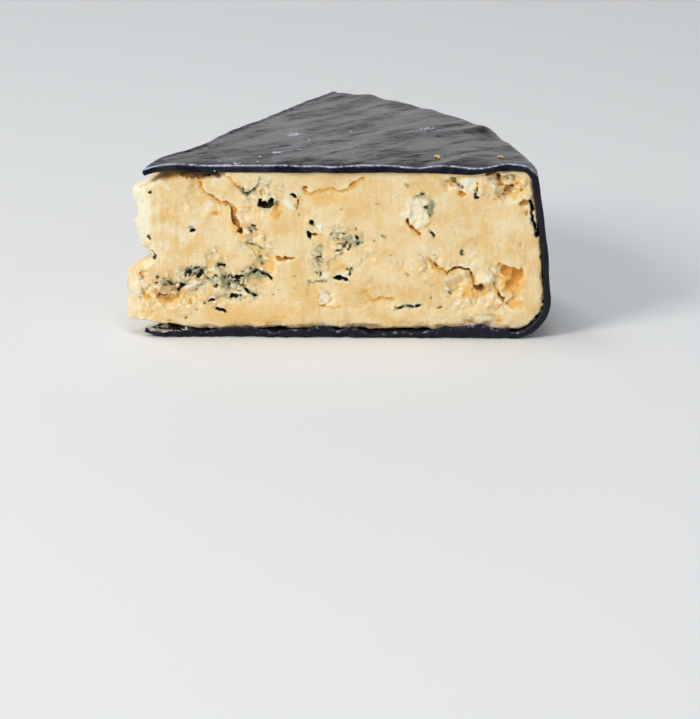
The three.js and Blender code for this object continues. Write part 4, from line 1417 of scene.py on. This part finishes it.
def paste_colour(tree, fine):
    """Blotchy cream with fine upright lines, under the tints that the paste's corners carry, among them
    painted warm shade and painted light
    """
    stain = {name: attribute(tree, name) for name in TINTS}
    coarse = noise_in(tree, 6.0, 3)
    blotch = noise_in(tree, 2.2, 4)
    upright = noise_in(tree, 0.8, 3, 0.6, drawn_out(tree, place_in(tree), (0, math.pi / 2, 0), 14))
    orange = broken(tree, stain["orange"], blotch, 0.5)
    haze = broken(tree, broken(tree, stain["bloom"], blotch, 1.0), fine, 0.8)
    colour = colour_mix(tree, ramp(tree, coarse, 0.35, 0.65), linear(*CREAM), linear(*LIGHT_CREAM))
    return layered(tree, colour, (
        (blotch, 0.5, 0.72, 0.6, WHITE_CREAM),
        (upright, 0.52, 0.72, 0.45, GOLD_LINE),
        (fine, 0.55, 0.75, 0.45, GOLD_GRAIN),
        # Pale curds, with painted light on the nose and painted highlights on ridges
        (broken(tree, stain["pale"], blotch, 1.2), 0.25, 0.95, 0.85, WHITE_CURD_AND_PAINTED_LIGHT),
        # Orange: mostly painted warm shade in hollows
        (orange, 0.05, 0.7, 0.85, AMBER),
        (orange, 0.5, 1.1, 0.8, DEEP_AMBER),
        # Brown: stains, and partly painted shadow in crevices and under the wax
        (broken(tree, stain["brown"], blotch, 0.9), 0.2, 0.95, 0.88, BROWN),
        (haze, 0.08, 0.75, 0.8, MOULD_HAZE),
        (broken(tree, stain["mould"], fine, 0.9), 0.25, 0.7, 0.93, MOULD),
    ))


def paste_material():
    material, tree = new_material("blue_cheese_paste")
    fine = noise_in(tree, 0.7, 4)
    grain = bump(tree, noise_in(tree, 0.45, 5, 0.65), 0.4, 0.25)
    set_inputs(tree, tree.nodes["Principled BSDF"], Base_Color=paste_colour(tree, fine),
               Roughness=ramp(tree, fine, 0.3, 0.7, 0.42, 0.62), Specular_IOR_Level=0.35,
               Normal=bump(tree, noise_in(tree, 1.6, 4), 0.35, 0.5, grain), Subsurface_Weight=0.35,
               Subsurface_Radius=(1.0, 0.55, 0.25), Subsurface_Scale=1.2 * MM)
    return material


def nearness(tree, place, centre, reach):
    """1 at a point of the wedge and 0 at a distance from it"""
    node = tree.nodes.new("ShaderNodeVectorMath")
    node.operation = "DISTANCE"
    tree.links.new(place, node.inputs[0])
    node.inputs[1].default_value = (AXIS + np.array(centre)) * MM
    return ramp(tree, node.outputs["Value"], 0, reach * MM, 1, 0)


def drawn_out(tree, place, rotation, stretch):
    """Places squeezed along the turned x axis, so that a texture is drawn out along it"""
    node = add(tree, "ShaderNodeMapping", Vector=place, Rotation=rotation, Scale=(stretch, 1, 1))
    node.vector_type = "TEXTURE"
    return node.outputs["Vector"]


WaxLook = namedtuple("WaxLook", "place cut lip soil streaked streaks wrinkles dust")


def wax_look(tree):
    """What the wax's colour, relief and gloss have in common: places, shares at its corners and textures"""
    place = place_in(tree)
    shares = [attribute(tree, name) for name in WAX_SHARES]
    streaks = noise_in(tree, 0.9, 6, 0.7, drawn_out(tree, place, (0, 0, math.radians(18)), 6))
    wrinkles = noise_in(tree, 3.6, 5, 0.6, drawn_out(tree, place, (0, 0, math.radians(40)), 4))
    return WaxLook(place, *shares, streaks, wrinkles, noise_in(tree, 8.0, 5, 0.62))


def scuffed(tree, colour, place):
    """A colour with the chipped places of the top, each scraped dark with pale chips"""
    for centre, reach in SCUFFS:
        near = nearness(tree, place, (*centre, WHEEL_HEIGHT), reach)
        scraped = broken(tree, near, noise_in(tree, 1.4, 3), 2.0)
        chips = broken(tree, near, noise_in(tree, 0.7, 3), 3.2)
        colour = layered(tree, colour, ((scraped, 0.55, 0.8, 0.9, SCRAPED), (chips, 0.84, 1.0, 1.0, CHIP)))
    return colour


def wax_colour(tree, look):
    """Nearly black wax, grey and streaked on the top, this grey partly painted sheen, with chips, left-over
    cheese and a painted highlight along the lip
    """
    paler_middle = nearness(tree, look.place, (*PALER_MIDDLE_PLACE, WHEEL_HEIGHT), PALER_MIDDLE_REACH)
    outside = ramp(tree, look.cut, 0, 1, 1, 0.1)
    # The top is painted greyer than the rim and paler towards a middle point; this grey and the light layers
    # below are partly painted sheen
    for share in (ramp(tree, look.streaked, 0, 1, 0.3, 1), ramp(tree, paler_middle, 0, 1, 0.6, 1.05)):
        outside = maths(tree, "MULTIPLY", outside, share)
    colour = colour_mix(tree, ramp(tree, look.dust, 0.45, 0.75), linear(*BLACK_WAX), linear(*BLUE_WAX))
    # Cut faces, and the painted shade behind the top's front lip
    colour = colour_mix(tree, look.cut, colour, linear(*CUT_AND_SHADE_WAX))
    colour = colour_mix(tree, outside, colour, linear(*GREY_WAX))
    colour = layered(tree, colour, (
        (look.streaks, 0.46, 0.64, 0.7, STREAK),
        (look.wrinkles, 0.48, 0.62, 0.75, WRINKLE),
        (look.dust, 0.48, 0.62, 0.75, DUST_AND_SHEEN),
        (noise_in(tree, 0.5, 1), 0.73, 0.78, 1.0, SPECK),
    ), outside)
    colour = scuffed(tree, colour, look.place)
    flakes = noise_in(tree, 1.0, 4, 0.6, drawn_out(tree, look.place, (0, 0, math.radians(-35)), 3))
    colour = layered(tree, colour, (
        (broken(tree, look.soil, noise_in(tree, 1.6, 4), 1.8), 0.9, 1.3, 0.9, SOIL),
        (broken(tree, look.soil, flakes, 3.2), 1.0, 1.2, 0.9, FLAKE),
    ))
    # Painted highlight along the lips, broken up
    lip_highlight = ramp(tree, broken(tree, look.lip, noise_in(tree, 1.3, 4), 3.0), 0.3, 1.2)
    lip_highlight = maths(tree, "MULTIPLY", lip_highlight, ramp(tree, look.lip, 0.05, 0.3))
    return colour_mix(tree, lip_highlight, colour, linear(*LIP_HIGHLIGHT))


def wax_relief(tree, look):
    rough = bump(tree, noise_in(tree, 0.7, 4), 0.8, 0.2)
    folds = bump(tree, look.wrinkles, ramp(tree, look.streaked, 0, 1, 0.2, 0.7), 0.4, rough)
    return bump(tree, look.streaks, ramp(tree, look.streaked, 0, 1, 0.2, 0.5), 0.2, folds)


def wax_gloss(tree, look):
    """Shiny streaks and wrinkles, duller on cut edges, behind the top's front lip and on the rim"""
    shine = ramp(tree, look.wrinkles, 0.44, 0.58, 0.0, 0.8)
    gloss = maths(tree, "ADD", ramp(tree, look.streaks, 0.4, 0.62, 0.0, 0.34), shine)
    gloss = maths(tree, "MULTIPLY", gloss, ramp(tree, look.cut, 0, 1, 1, 0.2))
    gloss = maths(tree, "MULTIPLY", gloss, ramp(tree, look.streaked, 0, 1, 0.3, 1))
    return maths(tree, "ADD", gloss, ramp(tree, look.streaked, 0, 1, 0.2, 0))


def wax_material():
    material, tree = new_material("dark_wax")
    look = wax_look(tree)
    set_inputs(tree, tree.nodes["Principled BSDF"], Base_Color=wax_colour(tree, look),
               Roughness=ramp(tree, look.dust, 0.3, 0.7, 0.25, 0.4), Specular_IOR_Level=wax_gloss(tree, look),
               Normal=wax_relief(tree, look))
    return material


def floor_material():
    material, tree = new_material("pale_floor")
    set_inputs(tree, tree.nodes["Principled BSDF"], Base_Color=linear(*PALE_FLOOR), Roughness=0.6)
    return material


def dress(piece, material, slot, *nodes):
    piece.data.materials.append(material)
    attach(piece, "root")
    if nodes:
        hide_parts(*nodes)


# The studio

def make_floor():
    points = FLOOR_HALF * np.array([(-1, -1, 0), (1, -1, 0), (1, 1, 0), (-1, 1, 0)])
    floor = new_object("floor", points, [(0, 1, 2, 3)])
    floor.data.materials.append(floor_material())


def add_light(light):
    data = bpy.data.lights.new(light.name, "AREA")
    data.shape = "RECTANGLE"
    data.size, data.size_y = light.size
    data.energy = light.watts
    data.color = light.colour
    lamp = bpy.data.objects.new(light.name, data)
    bpy.context.scene.collection.objects.link(lamp)
    lamp.location = (AXIS + np.array(light.place)) * MM
    way = (np.array(LIGHT_AIM) - np.array(light.place)).astype(float)
    pitch = math.atan2(math.hypot(way[0], way[1]), -way[2])
    lamp.rotation_euler = (pitch, 0, math.atan2(-way[0], way[1]))


def make_studio():
    world = bpy.data.worlds.new("studio")
    bpy.context.scene.world = world
    world.use_nodes = True
    background = world.node_tree.nodes["Background"]
    background.inputs["Color"].default_value = SKY_COLOUR
    background.inputs["Strength"].default_value = SKY_STRENGTH
    for light in LIGHTS:
        add_light(light)
    bpy.context.scene.view_settings.view_transform = "Standard"


def make_camera():
    data = bpy.data.cameras.new("camera")
    data.lens = FOCAL_PIXELS * data.sensor_width / FRAME_LONG_SIDE
    data.clip_start, data.clip_end = CAMERA_NEAR, CAMERA_FAR
    camera = bpy.data.objects.new("camera", data)
    bpy.context.scene.collection.objects.link(camera)
    camera.location = (AXIS + CAMERA_PLACE) * MM
    camera.rotation_euler = (math.pi / 2 - CAMERA_PITCH, 0, CAMERA_YAW)
    bpy.context.scene.camera = camera


make_camera()
make_studio()
make_floor()
paste_look = paste_material()
dress(make_paste(), paste_look, "paste", "cheese_paste")
wax = make_wax()
dress(wax, wax_material(), "wax", "wax_coat")
dress(make_crumbs(local_points(wax)), paste_look, "paste")
